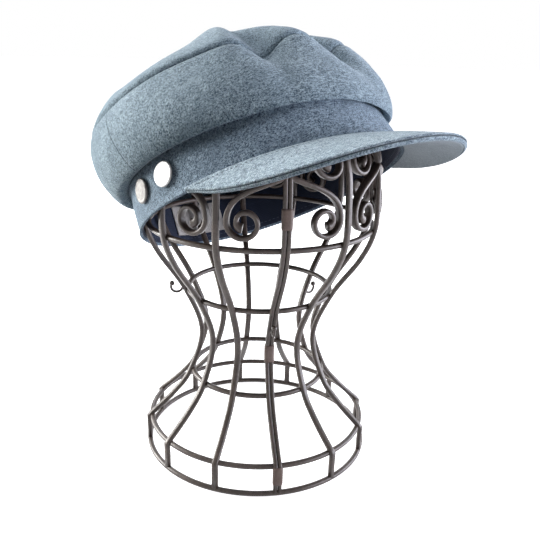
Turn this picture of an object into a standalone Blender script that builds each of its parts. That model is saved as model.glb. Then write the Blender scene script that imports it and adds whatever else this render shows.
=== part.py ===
"""Wool cap with a flat, puffed crown and a short peak, resting on a wire hat stand.

Metres, +Z up. The cap's front is -Y and the wearer's left is +X. The cap is drawn in its own
frame, with its origin at the middle of the band's lower edge, and is then tilted back and
lowered until it rests on the stand.
"""

import math

import bmesh
import bpy
import numpy as np
from mathutils import Matrix, Vector
from mathutils.bvhtree import BVHTree

# Cloth
CLOTH = 0.0020                 # wall of the outer cloth
SEWN_GAP = 0.0003              # clearance between two pieces that are sewn or pressed together

# Band: an oval strip, a little narrower at its upper edge
BAND_LENGTH = 0.1978           # outside, front to back, at the lower edge
BAND_WIDTH = 0.1888
BAND_HEIGHT = 0.0310
BAND_LEAN_FRONT = 0.0099       # how far the upper edge leans in at the front, sides and back
BAND_LEAN_SIDE = 0.0024
BAND_LEAN_BACK = 0.0009
BAND_SIDE_LIFT = 0.0012        # the lower edge is this much higher at the sides than in front
SWEATBAND = 0.0012             # thickness of the inner strip
SWEATBAND_HEIGHT = 0.0330
SWEATBAND_INSET = 0.0012       # its lower edge sits this much above the band's

# Crown: a wall that puffs out over the band, and an oval tip inside the edge seam
CROWN_LENGTH = 0.2020          # the edge seam's oval
CROWN_WIDTH = 0.1920
CROWN_SETBACK = 0.0310         # the edge seam's centre lies behind the band's
CROWN_HEIGHT = 0.0810          # edge seam above the band's lower edge, at its centre
CROWN_RAKE = math.radians(2.0)  # the edge seam climbs towards the front
PUFF_FRONT = 0.0035            # how far the wall bulges past the straight line to the seam
PUFF_SIDE = 0.0085
PUFF_BACK = 0.0060
TIP_RISE = 0.0260              # the tip's dome above the edge seam
TIP_FLATNESS = 3.2             # powers of the dome's profile: flat in the middle,
TIP_EDGE = 0.7                 # steep at the seam
FOLD_DEPTH = 0.0100            # the deepest soft fold

# Wall sections from band to edge seam: height, way to the seam's oval, bulge and stand-off
# from the band, as shares of the wall's height, of the oval's shift, of the puff and of CLOTH
WALL_SECTIONS = [
    # height  way    bulge  off
    (0.00, 0.00, 0.00, 0.00),
    (-0.05, 0.01, 0.40, 0.75),
    (-0.01, 0.04, 0.90, 0.50),
    (0.15, 0.15, 1.30, 0.20),
    (0.42, 0.40, 1.35, 0.00),
    (0.70, 0.72, 0.85, 0.00),
    (0.90, 0.94, 0.30, 0.00),
    (1.00, 1.00, 0.00, 0.00),
]

# Soft folds and ridges that cross the edge seam. Angle from the front and half width in
# degrees, inward and downward shift as shares of FOLD_DEPTH, and how far the fold runs down
# the wall and in over the tip, as shares of each
FOLDS = [
    # angle half  inward  down   wall  tip
    (-13.0, 7.0, 0.80, 0.90, 0.35, 0.50),
    (21.0, 6.0, 0.80, 1.00, 0.40, 0.45),
    (-26.0, 9.0, -0.10, -0.10, 0.40, 0.50),
    (3.0, 10.0, -0.20, -0.20, 0.30, 0.60),
    (42.0, 15.0, -0.70, -0.65, 0.45, 0.50),
]

# Places where the wall sags over the band: angle and half width in degrees, the drop as a
# share of BAND_HEIGHT, and the stand-off there as a share of CLOTH. A sag sets in over the
# wall's first stretch and has faded out at its end, as shares of the wall
SAG_START = 0.125
SAG_END = 0.87
SAGS = [
    # angle half  drop  off
    (33.0, 22.0, 0.20, 1.10),
]

# Places where the wall stands fuller: angle and half width in degrees, height and its spread
# as shares of the wall, and the extra bulge as a share of FOLD_DEPTH
SWELLS = [
    # angle half  height spread bulge
    (48.0, 28.0, 0.72, 0.32, 0.65),
]

# Soft humps of the tip: angle in degrees, place and spread as shares of the tip's oval, and
# height as a share of TIP_RISE. They set in over the tip's outermost stretch
HUMP_START = 0.167
HUMPS = [
    # angle  place spread height
    (-22.0, 0.58, 0.24, 0.48),
    (-98.0, 0.78, 0.22, 0.22),
    (22.0, 0.62, 0.24, 0.30),
    (98.0, 0.78, 0.22, 0.18),
]

# Peak: sewn to the band's lower edge, dropping more steeply towards its two corners
PEAK_LENGTH = 0.0524           # at the front
PEAK_CORNER = math.radians(68.0)
PEAK_CORNER_LENGTH = 0.0015
PEAK_TAPER = 1.20              # power with which the length fades towards the corners
PEAK_SLOPE_FRONT = math.radians(26.0)
PEAK_SLOPE_CORNER = math.radians(61.6)
PEAK_FAN = 0.85                # how far its rays turn outwards, as a share of the band's angle
PEAK_TOP = 0.0027              # upper cloth with its board
PEAK_UNDER = 0.0017            # underside cloth
PEAK_LIP = 0.0016              # the upper cloth turns this far under the rim
PEAK_LIP_MOST = 0.3            # but at most this share of the length, near the corners

# Rim of the upper cloth, from above to below: way back from the edge as a share of the lip,
# and height as a share of PEAK_TOP or, below the seam, of PEAK_UNDER
PEAK_RIM = [
    # back   height
    (0.3, 0.75),
    (0.0, 0.15),
    (0.2, -0.70),
    (1.0, -1.00),
]

# Flat metal buttons on the band: angle from the front, in degrees, on each side
BUTTON_DIAMETER = 0.0160
BUTTON_THICKNESS = 0.0018
BUTTON_ROUNDING = 0.0005
BUTTON_HEIGHT = 0.0180         # centre above the band's lower edge
BUTTON_ANGLES = {"front": 75.5, "back": 91.5}

# Blank label on the sweatband's inner face, right of the back
LABEL_ANGLES = (math.radians(180.0), math.radians(199.0))
LABEL_HEIGHT = 0.0240
LABEL_BASE = 0.0060            # its lower edge above the sweatband's
LABEL_THICKNESS = 0.0006

# How the cap sits on the stand
BACK_TILT = math.radians(32.1)
CAP_FORWARD = 0.0082           # the band's centre in front of the stand's axis
CAP_LEFT = 0.0032
CAP_HEIGHT = 0.1897            # the band's centre above the foot ring, before it is seated
SEAT_GAP = 0.0004

# Wire hat stand: rings and upright ribs of square bar, welded together
RIB_COUNT = 12
RIB_WIDTH = 0.0045
RIB_DEPTH = 0.0036
RIB_TURN = math.radians(-26.5)  # turn of the first rib from the front
RIB_LEAN_LEVEL = 0.2748        # above it the ribs lie flat, and their width faces up
RING_BAR = 0.0038
WELD = 0.0012                  # how deep a ring is let into the ribs
HUB_RADIUS = 0.0130            # plate that joins the ribs at the top
HUB_THICKNESS = 0.0040

# The ribs' line, from the foot to the hub: height and radius. A name marks a ring there
RIB_LINE = [
    # height  radius  ring
    (0.0000, 0.0825, "foot"),
    (0.0197, 0.0828, "skirt"),
    (0.0380, 0.0640, ""),
    (0.0560, 0.0512, "shin"),
    (0.0883, 0.0425, ""),
    (0.1208, 0.0543, "neck"),
    (0.1500, 0.0735, ""),
    (0.1711, 0.0820, "brow"),
    (0.1939, 0.0828, ""),
    (0.2186, 0.0805, ""),
    (0.2400, 0.0715, ""),
    (0.2600, 0.0560, ""),
    (0.2748, 0.0360, ""),
    (0.2820, 0.0190, ""),
    (0.2845, 0.0080, ""),
]

# Scrolls: every second rib sends out a pair that run down and curl beside the next ribs
SCROLL_BAR = 0.0036
SCROLL_TOP = 0.2175            # where a pair leaves its rib
SCROLL_REACH = 0.0370          # sideways from the rib to the curl's outer side
SCROLL_DROP = 0.0285           # from there down to the curl's centre
SCROLL_RADIUS = 0.0108         # the curl's outer radius
SCROLL_EYE = 0.0036            # and its inner end's
SCROLL_TURN = math.radians(430.0)

# Bends that guide a scroll's run, as shares of its reach and of its drop
SCROLL_RUN = [
    # across drop
    (0.00, 0.00),
    (0.33, 0.13),
    (1.00, 0.30),
    (1.00, 1.00),
]

# Collars that clasp the front rib
COLLAR_WIDTH = 0.0078
COLLAR_HEIGHT = 0.0130
COLLAR_LEVELS = [0.0135, 0.0860, 0.1920]

# Fineness of the meshes
CROWN_COLUMNS = 60
CROWN_CROWDING = 0.35          # columns stand closer together in front, where the folds are
WALL_STEPS = 8
TIP_STEPS = 6
BAND_COLUMNS = 56
PEAK_COLUMNS = 26
PEAK_STATIONS = (0.0, 0.33, 0.67, 1.0)   # across, as shares of the length
BUTTON_SIDES = 18
RING_SIDES = 36
RIB_STEPS = 15
LABEL_COLUMNS = 6
SCROLL_RUN_STEPS = 5
SCROLL_CURL_STEPS = 9

MATERIALS = {
    # name: colour, roughness, metallic
    "wool": ((0.17, 0.23, 0.28), 0.95, 0.0),
    "wool_pale": ((0.30, 0.37, 0.41), 0.95, 0.0),
    "sweatband_cloth": ((0.015, 0.022, 0.045), 0.80, 0.0),
    "label_cloth": ((0.33, 0.31, 0.29), 0.85, 0.0),
    "silver": ((0.80, 0.79, 0.76), 0.25, 1.0),
    "bronzed_wire": ((0.075, 0.058, 0.048), 0.50, 0.6),
}


def clear_scene():
    for item in list(bpy.data.objects):
        bpy.data.objects.remove(item, do_unlink=True)


def material(name):
    found = bpy.data.materials.get(name)
    if found:
        return found
    colour, roughness, metallic = MATERIALS[name]
    made = bpy.data.materials.new(name)
    made.use_nodes = True
    made.diffuse_color = (*colour, 1.0)
    shader = made.node_tree.nodes["Principled BSDF"]
    shader.inputs["Base Color"].default_value = (*colour, 1.0)
    shader.inputs["Roughness"].default_value = roughness
    shader.inputs["Metallic"].default_value = metallic
    return made


def empty(name, parent=None):
    made = bpy.data.objects.new(name, None)
    bpy.context.collection.objects.link(made)
    made.parent = parent
    return made


def solid(name, finish, parent, points, faces, sharp=math.radians(40.0)):
    """One closed mesh object from points and faces, with its faces turned outwards."""
    mesh = bpy.data.meshes.new(name)
    mesh.from_pydata([tuple(point) for point in points], [], faces)
    work = bmesh.new()
    work.from_mesh(mesh)
    bmesh.ops.recalc_face_normals(work, faces=work.faces)
    if work.calc_volume(signed=True) < 0.0:
        bmesh.ops.reverse_faces(work, faces=work.faces)
    work.to_mesh(mesh)
    work.free()
    mesh.shade_smooth()
    mesh.set_sharp_from_angle(angle=sharp)
    made = bpy.data.objects.new(name, mesh)
    made.data.materials.append(material(finish))
    bpy.context.collection.objects.link(made)
    made.parent = parent
    return made


def quad_rows(rows, columns, closed_rows, closed_columns):
    """Quads of a grid of rows by columns, stored row after row."""
    faces = []
    for row in range(rows if closed_rows else rows - 1):
        above = (row + 1) % rows
        for column in range(columns if closed_columns else columns - 1):
            beside = (column + 1) % columns
            faces.append((row * columns + column, row * columns + beside,
                          above * columns + beside, above * columns + column))
    return faces


def angles(count):
    return np.linspace(0.0, 2.0 * math.pi, count, endpoint=False)


def angle_between(angle, centre):
    """Signed difference of two angles in degrees, within half a turn."""
    return (np.degrees(angle) - centre + 180.0) % 360.0 - 180.0


def bell(distance, half_width):
    return np.exp(-(distance / half_width) ** 2)


def unit(vectors):
    return vectors / np.maximum(np.linalg.norm(vectors, axis=-1, keepdims=True), 1e-12)


def stack(left, back, up):
    left, back, up = np.broadcast_arrays(left, back, up)
    return np.stack([left, back, up], axis=-1)


# Band and crown surfaces, in the cap's frame. An angle of 0 is the front, 90 degrees is the
# wearer's left

def band_edge_height(angle):
    return BAND_SIDE_LIFT * np.sin(angle) ** 2


def band_point(angle, height, inset=0.0):
    """Point on the band's outer face, or inset from it, at a height above its lower edge."""
    share = height / BAND_HEIGHT
    front = BAND_LENGTH / 2 - BAND_LEAN_FRONT * share - inset
    back = BAND_LENGTH / 2 - BAND_LEAN_BACK * share - inset
    side = BAND_WIDTH / 2 - BAND_LEAN_SIDE * share - inset
    centre = (back - front) / 2
    return stack(side * np.sin(angle), centre - (front + back) / 2 * np.cos(angle), height)


def seam_point(angle, share=1.0):
    """Point on the edge seam's plane, at a share of the oval's radius."""
    left = share * CROWN_WIDTH / 2 * np.sin(angle)
    back = CROWN_SETBACK - share * CROWN_LENGTH / 2 * np.cos(angle)
    return stack(left, back, CROWN_HEIGHT - back * math.tan(CROWN_RAKE))


def oval_outward(angle):
    return unit(stack(np.sin(angle) / BAND_WIDTH, -np.cos(angle) / BAND_LENGTH, 0.0))


def puff(angle):
    ahead = np.cos(angle)
    reach = np.where(ahead > 0.0, PUFF_FRONT, PUFF_BACK)
    return PUFF_SIDE + (reach - PUFF_SIDE) * ahead ** 2


def smooth_table(table, steps):
    """Rows read from a table along a Catmull-Rom curve, with its first and last row kept."""
    rows = np.array(table, float)
    last = len(rows) - 1
    place = np.linspace(0.0, last, steps + 1)
    index = np.minimum(place.astype(int), last - 1)
    way = (place - index)[:, None]

    def row(number):
        return rows[np.clip(number, 0, last)]

    before, start, end, after = row(index - 1), row(index), row(index + 1), row(index + 2)
    return 0.5 * (2 * start + (end - before) * way
                  + (2 * before - 5 * start + 4 * end - after) * way ** 2
                  + (3 * start - before - 3 * end + after) * way ** 3)


def fold_shift(angle, from_seam, reach_column, strength=1.0):
    """Shift of the cloth by the folds, at a share of the way away from the edge seam."""
    inward = 0.0
    down = 0.0
    for row in FOLDS:
        weight = bell(angle_between(angle, row[0]), row[1])
        weight = weight * np.exp(-2.0 * (from_seam / row[reach_column]) ** 2) * strength
        inward = inward + row[2] * FOLD_DEPTH * weight
        down = down + row[3] * FOLD_DEPTH * weight
    return -oval_outward(angle) * inward[..., None] - stack(0.0, 0.0, down)


def crown_surface():
    """Outer face of wall and tip as rows of points, and the number of the edge seam's row."""
    angle = angles(CROWN_COLUMNS)[None, :]
    angle = angle - CROWN_CROWDING * np.sin(angle)
    along = np.linspace(0.0, 1.0, WALL_STEPS + 1)[:, None]
    columns = smooth_table(WALL_SECTIONS, WALL_STEPS).T
    height, way, bulge, off = (column[:, None] for column in columns)
    foot = band_point(angle, BAND_HEIGHT) + np.array([0.0, 0.0, SEWN_GAP])
    top = seam_point(angle)
    wall = foot + (top - foot) * way[..., None]
    wall[..., 2] = foot[..., 2] + (top - foot)[..., 2] * height
    outward = bulge * puff(angle) + off * CLOTH
    for centre, half_width, drop, stand_off in SAGS:
        fade = (np.clip(1.0 - along / SAG_END, 0.0, 1.0) ** 1.5
                * np.clip(along / SAG_START, 0.0, 1.0))
        sag = bell(angle_between(angle, centre), half_width) * fade
        wall[..., 2] -= drop * BAND_HEIGHT * sag
        outward = outward + stand_off * CLOTH * sag
    for centre, half_width, place, spread, extra in SWELLS:
        swell = bell(angle_between(angle, centre), half_width) * bell(along - place, spread)
        outward = outward + extra * FOLD_DEPTH * swell * (1.0 - along ** 6)
    wall = wall + oval_outward(angle) * outward[..., None]
    wall = wall + fold_shift(angle, 1.0 - along, 4)

    inward = np.linspace(0.0, 1.0, TIP_STEPS + 1)[1:-1, None]
    share = 1.0 - inward
    tip = seam_point(angle, share)
    rise = TIP_RISE * (1.0 - share ** TIP_FLATNESS) ** TIP_EDGE
    for centre, place, spread, hump in HUMPS:
        beside = share * np.cos(angle) - place * math.cos(math.radians(centre))
        across = share * np.sin(angle) - place * math.sin(math.radians(centre))
        swell = bell(np.hypot(beside, across), spread) * np.clip(inward / HUMP_START, 0.0, 1.0)
        rise = rise + hump * TIP_RISE * swell
    tip[..., 2] += rise
    tip = tip + fold_shift(angle, inward, 5, np.sqrt(share))
    return np.concatenate([wall, tip]), WALL_STEPS


def inner_layer(grid, thickness, centre):
    """The grid's points moved in by the cloth's thickness, square to the surface."""
    along = np.gradient(grid, axis=0)
    around = np.roll(grid, -1, axis=1) - np.roll(grid, 1, axis=1)
    normal = unit(np.cross(around, along))
    if np.sum(normal * (grid - centre)) < 0.0:
        normal = -normal
    return grid - normal * thickness


def drawn_back(grid, row, towards, gap):
    """The grid with one row moved a small gap towards its neighbour, to leave a seam open."""
    moved = grid.copy()
    moved[row] += unit(grid[towards] - grid[row]) * gap
    return moved


def add_crown(parent):
    grid, seam = crown_surface()
    middle = np.array([0.0, CROWN_SETBACK, CROWN_HEIGHT / 2])
    inner = inner_layer(grid, CLOTH, middle)
    wall_out, wall_in = (drawn_back(layer[:seam + 1], -1, -2, SEWN_GAP)
                         for layer in (grid, inner))
    rows = np.concatenate([wall_out, wall_in[::-1]])
    wall = solid("crown_wall", "wool", parent, rows.reshape(-1, 3),
                 quad_rows(len(rows), CROWN_COLUMNS, True, True))

    tip_out, tip_in = (drawn_back(layer[seam:], 0, 1, SEWN_GAP) for layer in (grid, inner))
    pole = seam_point(0.0, 0.0) + np.array([0.0, 0.0, TIP_RISE])
    rows = np.concatenate([tip_out[::-1], tip_in])
    points = [*rows.reshape(-1, 3), pole, pole - np.array([0.0, 0.0, CLOTH])]
    faces = quad_rows(len(rows), CROWN_COLUMNS, False, True)
    last = (len(rows) - 1) * CROWN_COLUMNS
    for column in range(CROWN_COLUMNS):
        beside = (column + 1) % CROWN_COLUMNS
        faces.append((beside, column, len(points) - 2))
        faces.append((last + column, last + beside, len(points) - 1))
    tip = solid("crown_tip", "wool", parent, points, faces)
    return [wall, tip]


def add_hoop(name, finish, parent, levels, inset, thickness, first=0.0, last=None):
    """A strip that follows the band: a whole hoop, or the stretch between two angles."""
    whole = last is None
    count = BAND_COLUMNS if whole else LABEL_COLUMNS
    angle = angles(count) if whole else np.linspace(first, last, count)
    outside = [band_point(angle, level + band_edge_height(angle) * (1 - share), inset)
               for share, level in zip(np.linspace(0, 1, len(levels)), levels)]
    inside = [band_point(angle, level + band_edge_height(angle) * (1 - share), inset + thickness)
              for share, level in zip(np.linspace(0, 1, len(levels)), levels)]
    rows = np.array(outside + inside[::-1])
    faces = quad_rows(len(rows), count, True, whole)
    if not whole:
        faces.append(tuple(row * count for row in range(len(rows))))
        faces.append(tuple(row * count + count - 1 for row in reversed(range(len(rows)))))
    return solid(name, finish, parent, rows.reshape(-1, 3), faces)


def add_bands(parent):
    band = add_hoop("band", "wool", parent, [0.0, BAND_HEIGHT / 2, BAND_HEIGHT], 0.0, CLOTH)
    inset = CLOTH + SEWN_GAP
    sweatband = add_hoop("sweatband", "sweatband_cloth", parent,
                         [SWEATBAND_INSET, SWEATBAND_HEIGHT], inset, SWEATBAND)
    low = SWEATBAND_INSET + LABEL_BASE
    label = add_hoop("label", "label_cloth", parent, [low, low + LABEL_HEIGHT],
                     inset + SWEATBAND + SEWN_GAP, LABEL_THICKNESS, *LABEL_ANGLES)
    return [band, sweatband, label]


def peak_frame(angle):
    """Start, outward direction, upward normal and length of the peak at one angle."""
    share = (angle / PEAK_CORNER) ** 2
    slope = PEAK_SLOPE_FRONT + (PEAK_SLOPE_CORNER - PEAK_SLOPE_FRONT) * share
    turn = angle * PEAK_FAN
    outward = np.array([math.sin(turn), -math.cos(turn), 0.0])
    up = np.array([0.0, 0.0, 1.0])
    ray = outward * math.cos(slope) - up * math.sin(slope)
    normal = outward * math.sin(slope) + up * math.cos(slope)
    fade = max(0.0, 1.0 - share) ** PEAK_TAPER
    length = PEAK_CORNER_LENGTH + (PEAK_LENGTH - PEAK_CORNER_LENGTH) * fade
    start = band_point(angle, band_edge_height(angle), -SEWN_GAP)
    return start, ray, normal, length


def add_peak(parent):
    """Upper cloth, which turns under the rim, and underside cloth."""
    upper, under = [], []
    for angle in np.linspace(-PEAK_CORNER, PEAK_CORNER, PEAK_COLUMNS + 1):
        start, ray, normal, length = peak_frame(angle)
        lip = min(PEAK_LIP, PEAK_LIP_MOST * length)
        half_gap = SEWN_GAP / 2
        edge = length - lip
        profile = [(share * edge, PEAK_TOP) for share in PEAK_STATIONS]
        profile += [(length - back * lip, high * (PEAK_TOP if high > 0.0 else PEAK_UNDER))
                    for back, high in PEAK_RIM]
        profile += [(share * edge, half_gap) for share in reversed(PEAK_STATIONS)]
        edge -= SEWN_GAP
        below = [(share * edge, -half_gap) for share in PEAK_STATIONS]
        below += [(share * edge, -PEAK_UNDER) for share in reversed(PEAK_STATIONS)]
        upper.append([start + ray * out + normal * high for out, high in profile])
        under.append([start + ray * out + normal * high for out, high in below])
    made = []
    for name, finish, loops in (("peak", "wool_pale", upper), ("peak_underside", "wool_pale", under)):
        size = len(loops[0])
        faces = quad_rows(len(loops), size, False, True)
        faces.append(tuple(range(size)))
        faces.append(tuple((len(loops) - 1) * size + corner for corner in reversed(range(size))))
        made.append(solid(name, finish, parent, np.array(loops).reshape(-1, 3), faces))
    return made


def add_button(name, parent, angle):
    """Flat disc with a rounded rim, lying against the band."""
    centre = Vector(band_point(angle, BUTTON_HEIGHT))
    upward = Vector(band_point(angle, BUTTON_HEIGHT + 0.001)) - centre
    around = Vector(band_point(angle + 0.01, BUTTON_HEIGHT)) - centre
    outward = around.cross(upward).normalized()
    around = upward.cross(outward).normalized()
    turned = Matrix((around, outward.cross(around), outward)).transposed()
    radius = BUTTON_DIAMETER / 2
    sections = [(radius, 0.0), (radius, BUTTON_THICKNESS - BUTTON_ROUNDING),
                (radius - BUTTON_ROUNDING, BUTTON_THICKNESS)]
    points = []
    for reach, height in sections:
        for step in angles(BUTTON_SIDES):
            spot = Vector((reach * math.cos(step), reach * math.sin(step), height + SEWN_GAP))
            points.append(centre + turned @ spot)
    faces = quad_rows(len(sections), BUTTON_SIDES, False, True)
    faces.append(tuple(reversed(range(BUTTON_SIDES))))
    top = (len(sections) - 1) * BUTTON_SIDES
    faces.append(tuple(top + side for side in range(BUTTON_SIDES)))
    return solid(name, "silver", parent, points, faces)


def add_buttons(parent):
    made = []
    for side, sign in (("right", -1.0), ("left", 1.0)):
        for place, degrees in BUTTON_ANGLES.items():
            name = f"{side}_{place}_button"
            made.append(add_button(name, parent, sign * math.radians(degrees)))
    return made


# Stand

def square_section(width, depth):
    """Corners of a bar's section: across, and out from the cage."""
    return [(width / 2, -depth / 2), (width / 2, depth / 2),
            (-width / 2, depth / 2), (-width / 2, -depth / 2)]


def add_bar(name, line, section, faces_out, closed=False):
    """A bar swept along a line of points. Its section's second axis is faces_out(point)."""
    line = np.array(line, float)
    count, size = len(line), len(section)
    loops = []
    for index in range(count):
        if closed:
            run = line[(index + 1) % count] - line[index - 1]
        else:
            run = line[min(index + 1, count - 1)] - line[max(index - 1, 0)]
        run = unit(run)
        out = np.array(faces_out(line[index]), float)
        out = unit(out - run * np.dot(out, run))
        side = np.cross(run, out)
        loops.append([line[index] + side * across + out * deep for across, deep in section])
    faces = quad_rows(count, size, closed, True)
    if not closed:
        faces.append(tuple(range(size)))
        faces.append(tuple((count - 1) * size + corner for corner in reversed(range(size))))
    return solid(name, "bronzed_wire", None, np.array(loops).reshape(-1, 3), faces)


def away_from_axis(point):
    return (point[0], point[1], 0.0)


def rib_radius(height):
    """Radius of the ribs' line at a height, read from its table."""
    levels = [row[0] for row in RIB_LINE]
    radii = [row[1] for row in RIB_LINE]
    return np.interp(height, levels, radii)


def rib_angle(number):
    return RIB_TURN - math.pi / 2 + 2.0 * math.pi * number / RIB_COUNT


def on_cage(turn, radius, height):
    return (radius * math.cos(turn), radius * math.sin(turn), height)


def add_ribs():
    bars = []
    steps = smooth_table([row[:2] for row in RIB_LINE[1:]], RIB_STEPS)
    line = [RIB_LINE[0][:2], *steps]
    for number in range(RIB_COUNT):
        turn = rib_angle(number)
        points = [on_cage(turn, radius, height) for height, radius in line]

        def out(point, turn=turn):
            lean = 1.0 if point[2] > RIB_LEAN_LEVEL else 0.0
            return (math.cos(turn), math.sin(turn), lean)

        bars.append(add_bar(f"rib_bar_{number}", points, square_section(RIB_WIDTH, RIB_DEPTH), out))
    return bars


def add_rings():
    """Rings inside the ribs, let into them a little, and flush with them at the foot."""
    bars = []
    for height, radius, name in RIB_LINE:
        if not name:
            continue
        lying = radius if name == "foot" else radius - (RIB_DEPTH + RING_BAR) / 2 + WELD
        turns = [rib_angle(0) + step for step in angles(RING_SIDES)]
        points = [on_cage(turn, lying, height) for turn in turns]
        if name == "foot":
            section = square_section(RING_BAR, RIB_DEPTH + WELD)
        else:
            section = square_section(RING_BAR, RING_BAR)
        bars.append(add_bar(f"{name}_ring_bar", points, section, away_from_axis, closed=True))
    return bars


def scroll_line(sign):
    """A scroll laid flat: sideways distance from its rib and height above its start."""
    points = []
    corners = [(across * SCROLL_REACH, -drop * SCROLL_DROP) for across, drop in SCROLL_RUN]
    for way in np.linspace(0.0, 1.0, SCROLL_RUN_STEPS)[:-1]:
        weights = [(1 - way) ** 3, 3 * way * (1 - way) ** 2, 3 * way ** 2 * (1 - way), way ** 3]
        points.append([sum(weight * corner[axis] for weight, corner in zip(weights, corners))
                       for axis in (0, 1)])
    centre = (SCROLL_REACH - SCROLL_RADIUS, -SCROLL_DROP)
    for way in np.linspace(0.0, 1.0, SCROLL_CURL_STEPS):
        turn = way * SCROLL_TURN
        radius = SCROLL_RADIUS + (SCROLL_EYE - SCROLL_RADIUS) * way
        points.append([centre[0] + radius * math.cos(turn), centre[1] - radius * math.sin(turn)])
    return [(sign * across, up) for across, up in points]


def add_scrolls():
    bars = []
    for number in range(0, RIB_COUNT, 2):
        for sign in (-1.0, 1.0):
            points = []
            for across, up in scroll_line(sign):
                height = SCROLL_TOP + up
                radius = rib_radius(height)
                points.append(on_cage(rib_angle(number) + across / radius, radius, height))
            section = square_section(SCROLL_BAR, SCROLL_BAR)
            bars.append(add_bar(f"scroll_bar_{number}_{int(sign)}", points, section, away_from_axis))
    return bars


def add_collars():
    bars = []
    for level in COLLAR_LEVELS:
        turn = rib_angle(0)
        ends = [level - COLLAR_HEIGHT / 2, level + COLLAR_HEIGHT / 2]
        points = [on_cage(turn, rib_radius(height), height) for height in ends]
        section = square_section(COLLAR_WIDTH, COLLAR_WIDTH)
        bars.append(add_bar(f"collar_bar_{level:.3f}", points, section, away_from_axis))
    return bars


def add_hub():
    height, radius, _ = RIB_LINE[-1]
    sides = angles(RIB_COUNT * 2)
    points = []
    for level in (height - HUB_THICKNESS / 2, height + HUB_THICKNESS / 2):
        points += [on_cage(rib_angle(0) + side, HUB_RADIUS, level) for side in sides]
    count = len(sides)
    faces = quad_rows(2, count, False, True)
    faces.append(tuple(reversed(range(count))))
    faces.append(tuple(count + side for side in range(count)))
    return solid("hub_plate", "bronzed_wire", None, points, faces)


def weld(name, finish, parent, bars):
    """All bars joined into one body."""
    first, others = bars[0], bars[1:]
    group = bpy.data.collections.new("bars")
    bpy.context.scene.collection.children.link(group)
    for bar in others:
        group.objects.link(bar)
        bar.hide_render = True
        bar.display_type = "WIRE"
    joint = first.modifiers.new("weld", "BOOLEAN")
    joint.operation = "UNION"
    joint.solver = "EXACT"
    joint.operand_type = "COLLECTION"
    joint.collection = group
    evaluated = first.evaluated_get(bpy.context.evaluated_depsgraph_get())
    mesh = bpy.data.meshes.new_from_object(evaluated)
    mesh.name = name
    mesh.materials.clear()
    mesh.materials.append(material(finish))
    for bar in bars:
        bpy.data.objects.remove(bar, do_unlink=True)
    bpy.data.collections.remove(group)
    made = bpy.data.objects.new(name, mesh)
    bpy.context.collection.objects.link(made)
    made.parent = parent
    return made


def add_stand(parent):
    bars = add_rings() + add_ribs() + add_scrolls() + add_collars() + [add_hub()]
    stand = weld("wire_stand", "bronzed_wire", parent, bars)
    stand.location.z = RING_BAR / 2
    return stand


# Assembly

def surface_of(piece):
    """A search tree of a piece's faces, and points spread over its corners, edges and faces."""
    work = bmesh.new()
    work.from_mesh(piece.data)
    bmesh.ops.triangulate(work, faces=work.faces)
    work.transform(piece.matrix_world)
    tree = BVHTree.FromBMesh(work)
    points = [vertex.co.copy() for vertex in work.verts]
    for edge in work.edges:
        start, end = (vertex.co for vertex in edge.verts)
        points += [start.lerp(end, share) for share in (0.25, 0.5, 0.75)]
    points += [face.calc_center_median() for face in work.faces]
    work.free()
    return tree, points


def seat_cap(cap, pieces, stand):
    """Pull the cap onto the stand along its own axis, until it rests there with a small gap."""
    up = Matrix.Rotation(-BACK_TILT, 3, "X") @ Vector((0.0, 0.0, 1.0))
    cap.location += up * CROWN_HEIGHT
    bpy.context.view_layer.update()
    stand_tree, stand_points = surface_of(stand)
    ways = []
    for piece in pieces:
        tree, points = surface_of(piece)
        ways += [hit[3] for hit in (tree.ray_cast(point, up) for point in stand_points)
                 if hit[0] and hit[1].dot(up) < 0.0]
        ways += [hit[3] for hit in (stand_tree.ray_cast(point, -up) for point in points)
                 if hit[0] and hit[1].dot(up) > 0.0]
    cap.location -= up * (min(ways) - SEAT_GAP)
    bpy.context.view_layer.update()


def centre_over_origin(root):
    """Move the assembly so that its bounding box stands on the origin."""
    bpy.context.view_layer.update()
    corners = np.array([piece.matrix_world @ vertex.co for piece in bpy.data.objects
                        if piece.type == "MESH" for vertex in piece.data.vertices])
    low, high = corners.min(axis=0), corners.max(axis=0)
    root.location = (-(low[0] + high[0]) / 2, -(low[1] + high[1]) / 2, -low[2])


def build():
    clear_scene()
    root = empty("assembly")
    cap = empty("cap_frame", root)
    cap.rotation_euler = (-BACK_TILT, 0.0, 0.0)
    cap.location = (CAP_LEFT, -CAP_FORWARD, CAP_HEIGHT)
    stand = add_stand(root)
    pieces = add_crown(cap) + add_bands(cap) + add_peak(cap) + add_buttons(cap)
    seat_cap(cap, pieces, stand)
    centre_over_origin(root)
    bpy.context.view_layer.update()


build()
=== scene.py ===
# %% [markdown]
# A soft wool cap rests on an open wire hat stand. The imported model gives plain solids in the
# right places. This lesson dresses them: each soft piece is drawn again with a fine grid, seams,
# stitches and a heathered wool finish, and the stand is drawn again from rounded bars.

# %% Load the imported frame
import math

import bmesh
import bpy
import numpy as np
from mathutils import Matrix, Vector, noise


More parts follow.
